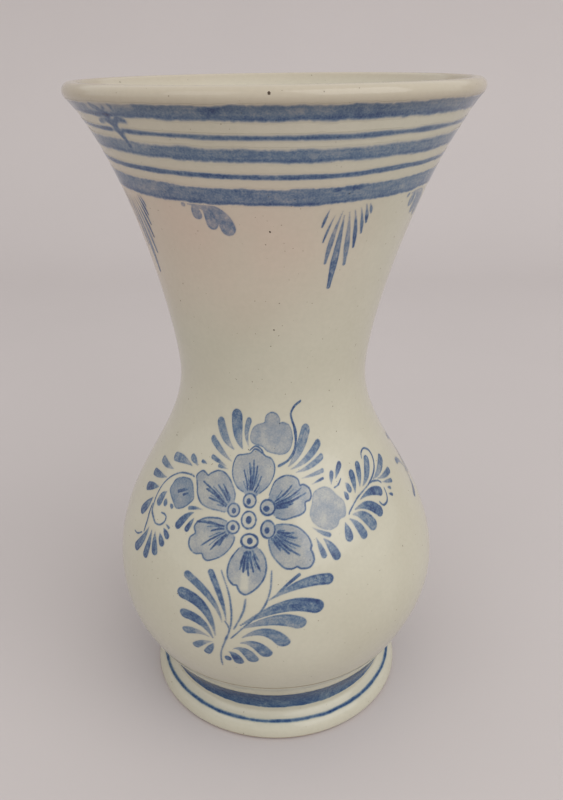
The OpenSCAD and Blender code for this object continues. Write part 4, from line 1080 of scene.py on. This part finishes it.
def band_tone(a, z, low, high, tone, edge, wave):
    """The pigment of a ring of colour, painted while the wheel turned."""
    turn = a / ART_R
    bottom = low + wave * ring_cloud(turn, 0, 0.16, 0, low)
    top = high + wave * ring_cloud(turn, 0, 0.16, 0, low + 20)
    tall = high - low > TALL_BAND
    rise = (z - low) * (TALL_BAND / (high - low) if tall else 1)
    thick = min(1, (high - low) / 3)
    ragged = ring_cloud(turn, rise, 0.35, 0.4, 7) + ring_cloud(turn, rise, 1.1, 1.4, low)
    inner = np.minimum(z - bottom, top - z) + 0.28 * thick * ragged
    streaks = ring_cloud(turn, rise, 0.06, 2.6, 20)
    patches = ring_cloud(turn, 0, 0.12, 0, low + 50)
    blots = ring_cloud(turn, rise, 0.5, 0.8, low)
    grain = ring_cloud(turn, rise, 1.9, 2.2, low + 11)
    rim = np.exp(-((inner - 0.35) / 0.3) ** 2)
    load = 0.45 * thick * np.exp(-((z - bottom - 0.5) / 0.55) ** 2)
    # Painted shade: a tall band is painted deeper towards its top and on its left side
    if tall:
        load = 0.5 * smooth(low + 2, high, z) + 0.4 * smooth(0.1, 0.8, -np.sin(turn))
        streaks = 0.2 * streaks
    shade = 1 + 0.35 * streaks + 0.4 * patches + 0.4 * blots + 0.35 * grain + 0.1 * rim + load
    return smooth(-edge, edge, inner) * tone * shade


def band(low, high, tone, edge, wave):
    """A ring of colour on a sheet of its own."""
    sheet = Sheet(-HALF_ROUND, HALF_ROUND, low - 1, high + 1, RING_STEP)
    a, z = np.meshgrid(sheet.a, sheet.z)
    sheet.paint = band_tone(a, z, low, high, tone, edge, wave)
    return sheet


def smear():
    """The rings at the left and front of the rim, with the smear, worn places and dark dabs."""
    sheet = Sheet(*SMEAR_SHEET)
    a, z = np.meshgrid(sheet.a, sheet.z)
    for _, *ring, drift in BANDS[:5]:
        sheet.paint = np.maximum(sheet.paint, band_tone(a, z - drift * drift_at(a), *ring))
    for patch in WORN:
        sheet.fade(patch)
    for index, mark in enumerate(SMEARS):
        sheet.line(mark, SMEAR_TONE, index=index, soft=0.55)
    for wide, tall, (dab_a, dab_z) in DABS:
        at, a, z = sheet.window((dab_a - 6, dab_z - 3), (dab_a + 6, dab_z + 3))
        gap = np.hypot((a - dab_a) / wide, (z - dab_z) / tall)
        gap += 0.5 * (cloud(a * 1.3, z * 1.7) - 0.5)
        sheet.paint[at] += 0.5 * smooth(1.5, 0.3, gap) * (sheet.paint[at] > 0.1)
    return sheet


coat = glaze_coat()

front = painted("front_flowers", front_paint(), blue, moved=settled)
take(front, ["flower_petals", "petal_lines", "flower_centre", "flower_buds", "bud_lines",
             "upper_spray", "left_scroll_line", "left_spray", "right_spray", "lower_left_spray",
             "lower_right_spray", "stems"])
back = painted("back_flowers", back_paint(), blue, moved=settled)
take(back, ["back_flower_petals", "back_flower_lines", "back_left_branch", "back_right_branch",
            "back_lower_sprays", "back_stems"])
feather_sheet = neck_paint(FEATHER, FEATHER_PLACES, FEATHER_TONE, FEATHER_POINT)
take(painted("feather_paint", feather_sheet, blue), ["neck_feathers"])
scroll_sheet = neck_paint(SCROLL_LEAF, SCROLL_PLACES, SCROLL_TONE)
take(painted("scroll_leaf_paint", scroll_sheet, blue), ["neck_scroll_leaves"])

for name, *ring, drift in BANDS:
    material = foot_blue if name.startswith("foot") else blue
    piece = painted(name + "_paint", band(*ring), material, moved=drifted(drift))
    take(piece, [name])
painted("rim_smear", smear(), blue, off=SMEAR_OFF)
take(painted("hairline_paint", band(*HAIRLINE), brown), ["base_hairline"])

for name, material in (("foot_ring", clay_material("fired_clay", CLAY)),
                       ("foot_seam_slip", clay_material("slip_seam", [c * 0.9 for c in CLAY])),
                       ("foot_recess_glaze", glaze_material("thin_recess_glaze", 0.92))):
    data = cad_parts[name].data
    data.materials.clear()
    data.materials.append(material)


# ---- Floor, light and camera ----


def sweep():
    """A paper floor that curves up behind the vase."""
    line = [(PAPER_NEAR, 0.0), (PAPER_FAR, 0.0)]
    line += [(PAPER_FAR + PAPER_BEND * math.sin(t), PAPER_BEND - PAPER_BEND * math.cos(t))
             for t in np.linspace(0.1, math.pi / 2, 16)]
    line += [(PAPER_FAR + PAPER_BEND, PAPER_TOP)]
    places = np.array([(x, y, z) for y, z in line for x in (-PAPER_HALF, 0, PAPER_HALF)])
    piece = add_mesh("floor", places, grid_faces(len(line), 3))
    piece.data.materials.append(floor_material())


def lamp(name, place, size, watts):
    """A square lamp that faces the vase."""
    data = bpy.data.lights.new(name, "AREA")
    data.size = size
    data.energy = watts
    piece = bpy.data.objects.new(name, data)
    piece.location = place
    piece.rotation_euler = (Vector(LIT_PLACE) - Vector(place)).to_track_quat("-Z", "Y").to_euler()
    bpy.context.collection.objects.link(piece)


sweep()
for name, values in LAMPS.items():
    lamp(name, *values)
world = bpy.data.worlds.new("room")
bpy.context.scene.world = world
world.use_nodes = True
world.node_tree.nodes["Background"].inputs["Color"].default_value = (*ROOM, 1)
world.node_tree.nodes["Background"].inputs["Strength"].default_value = ROOM_LIGHT

view = bpy.data.objects.new("camera", bpy.data.cameras.new("camera"))
bpy.context.collection.objects.link(view)
view.location = (0, -CAMERA_AWAY * MM, CAMERA_UP * MM)
view.rotation_euler = (math.radians(90 - CAMERA_DOWN), 0, math.radians(-CAMERA_TURN))
view.data.lens = LENS
view.data.sensor_width = SENSOR
view.data.sensor_fit = "AUTO"
bpy.context.scene.camera = view
bpy.context.scene.view_settings.view_transform = "Standard"
bpy.context.view_layer.update()


# ---- Flecks at image points ----


def on_picture(place):
    """Where a place shows in the picture."""
    x, y, z = view.matrix_world.inverted() @ Vector(place)
    grow = LONG * LENS / SENSOR / -z
    return W / 2 + x * grow, H / 2 - y * grow


def place_at(point):
    """Where the ray of an image point meets the glaze, or comes nearest to it."""
    ray = Vector((point[0] - W / 2, H / 2 - point[1], -LONG * LENS / SENSOR))
    start = view.matrix_world.translation
    ahead = (view.matrix_world.to_3x3() @ ray).normalized()
    hit, normal, _, _ = coat_tree.ray_cast(start, ahead)
    if hit is None:
        hit, normal, _, _ = coat_tree.find_nearest(start + ahead * start.length)
    return hit, normal


def speck(name, wide, tall):
    """A dark fleck in the glaze at its image point: a low uneven blob."""
    hit, normal = place_at(POINTS[name])
    turn = normal.to_track_quat("Z", "Y")
    places = []
    for reach, rise in SPECK_RINGS:
        for step in range(SPECK_SIDES):
            angle = 2 * math.pi * step / SPECK_SIDES
            grow = 1 + 0.14 * math.sin(2 * angle + wide * 9) + 0.1 * math.sin(5 * angle)
            local = Vector((wide * reach * grow * math.cos(angle),
                            tall * reach * grow * math.sin(angle), SPECK_TALL * rise - SPECK_DEEP))
            places.append(hit + turn @ local * MM)
    faces = grid_faces(len(SPECK_RINGS), SPECK_SIDES, closed=True)
    piece = add_mesh(name, np.array(places), faces)
    piece.data.materials.append(fleck)
    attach(piece, "root")


coat_tree = BVHTree.FromObject(coat, bpy.context.evaluated_depsgraph_get())
fleck = clay_material("dark_fleck", SPECK)
for name, wide, tall in SPECKS:
    speck(name, wide, tall)


# ---- Where the image points show ----

# How near, in pixels, a vertex has to lie to the height or side of an image point
LEVEL_NEAR, FOOT_NEAR = 2.5, 6
# The foot's edge lies below this height, in metres
FOOT_EDGE = 0.004
# The rim's highest place is looked for near its image point: a pixel to the side counts as
# this many pixels down
RIM_TOP_NEAR = 0.02

coat_shown = [(*on_picture(v.co), v.co.z) for v in coat.data.vertices]


def shown_side(name, side):
    """The glaze's outermost place to one side (-1 left, 1 right) at the point's height."""
    level = POINTS[name][1]
    return side * max(side * x for x, y, _ in coat_shown if abs(y - level) < LEVEL_NEAR), level


def shown_rim_top():
    middle = POINTS["rim_top"][0]
    return min(coat_shown, key=lambda row: row[1] + RIM_TOP_NEAR * abs(row[0] - middle))[:2]


def shown_foot():
    middle = POINTS["foot_bottom"][0]
    return middle, max(y for x, y, z in coat_shown
                       if z < FOOT_EDGE and abs(x - middle) < FOOT_NEAR)


def shown_ring(name):
    """Where the middle of a ring of colour shows, above or below its image point."""
    _, low, high, *_, drift = next(row for row in BANDS if row[0] == name)
    move = drifted(drift)
    row = [on_picture(on_wall(*move(a, (low + high) / 2))) for a in np.linspace(-30, 30, 121)]
    return min(row, key=lambda p: abs(p[0] - POINTS[name][0]))


def shown_on_front(places):
    """Where the middle of some places of the bouquet shows."""
    return on_picture(on_wall(*settled(*np.mean(places, axis=0))))


def shown_speck(name):
    """The place of a fleck that shows nearest to its image point."""
    return min((on_picture(v.co) for v in bpy.data.objects[name].data.vertices),
               key=lambda p: math.dist(p, POINTS[name]))


def shown_feather_tip():
    tip = FEATHER[3][3]
    return on_picture(on_wall(FEATHER_PLACES[0] + tip[0], HANG_Z + tip[1]))


shown = {f"{part}_{word}": shown_side(f"{part}_{word}", side)
         for part in ("rim", "belly", "neck") for word, side in (("left", -1), ("right", 1))}
shown |= {"rim_top": shown_rim_top(), "foot_bottom": shown_foot(),
          "flower_middle": shown_on_front([CENTRE_RINGS[0][3]]),
          "top_bud": shown_on_front(BUDS[0]), "right_bud": shown_on_front(BUDS[1]),
          "feather_tip": shown_feather_tip()}
shown |= {name: shown_ring(name) for name in ("neck_band", "foot_line")}
shown |= {name: shown_speck(name) for name, _, _ in SPECKS}


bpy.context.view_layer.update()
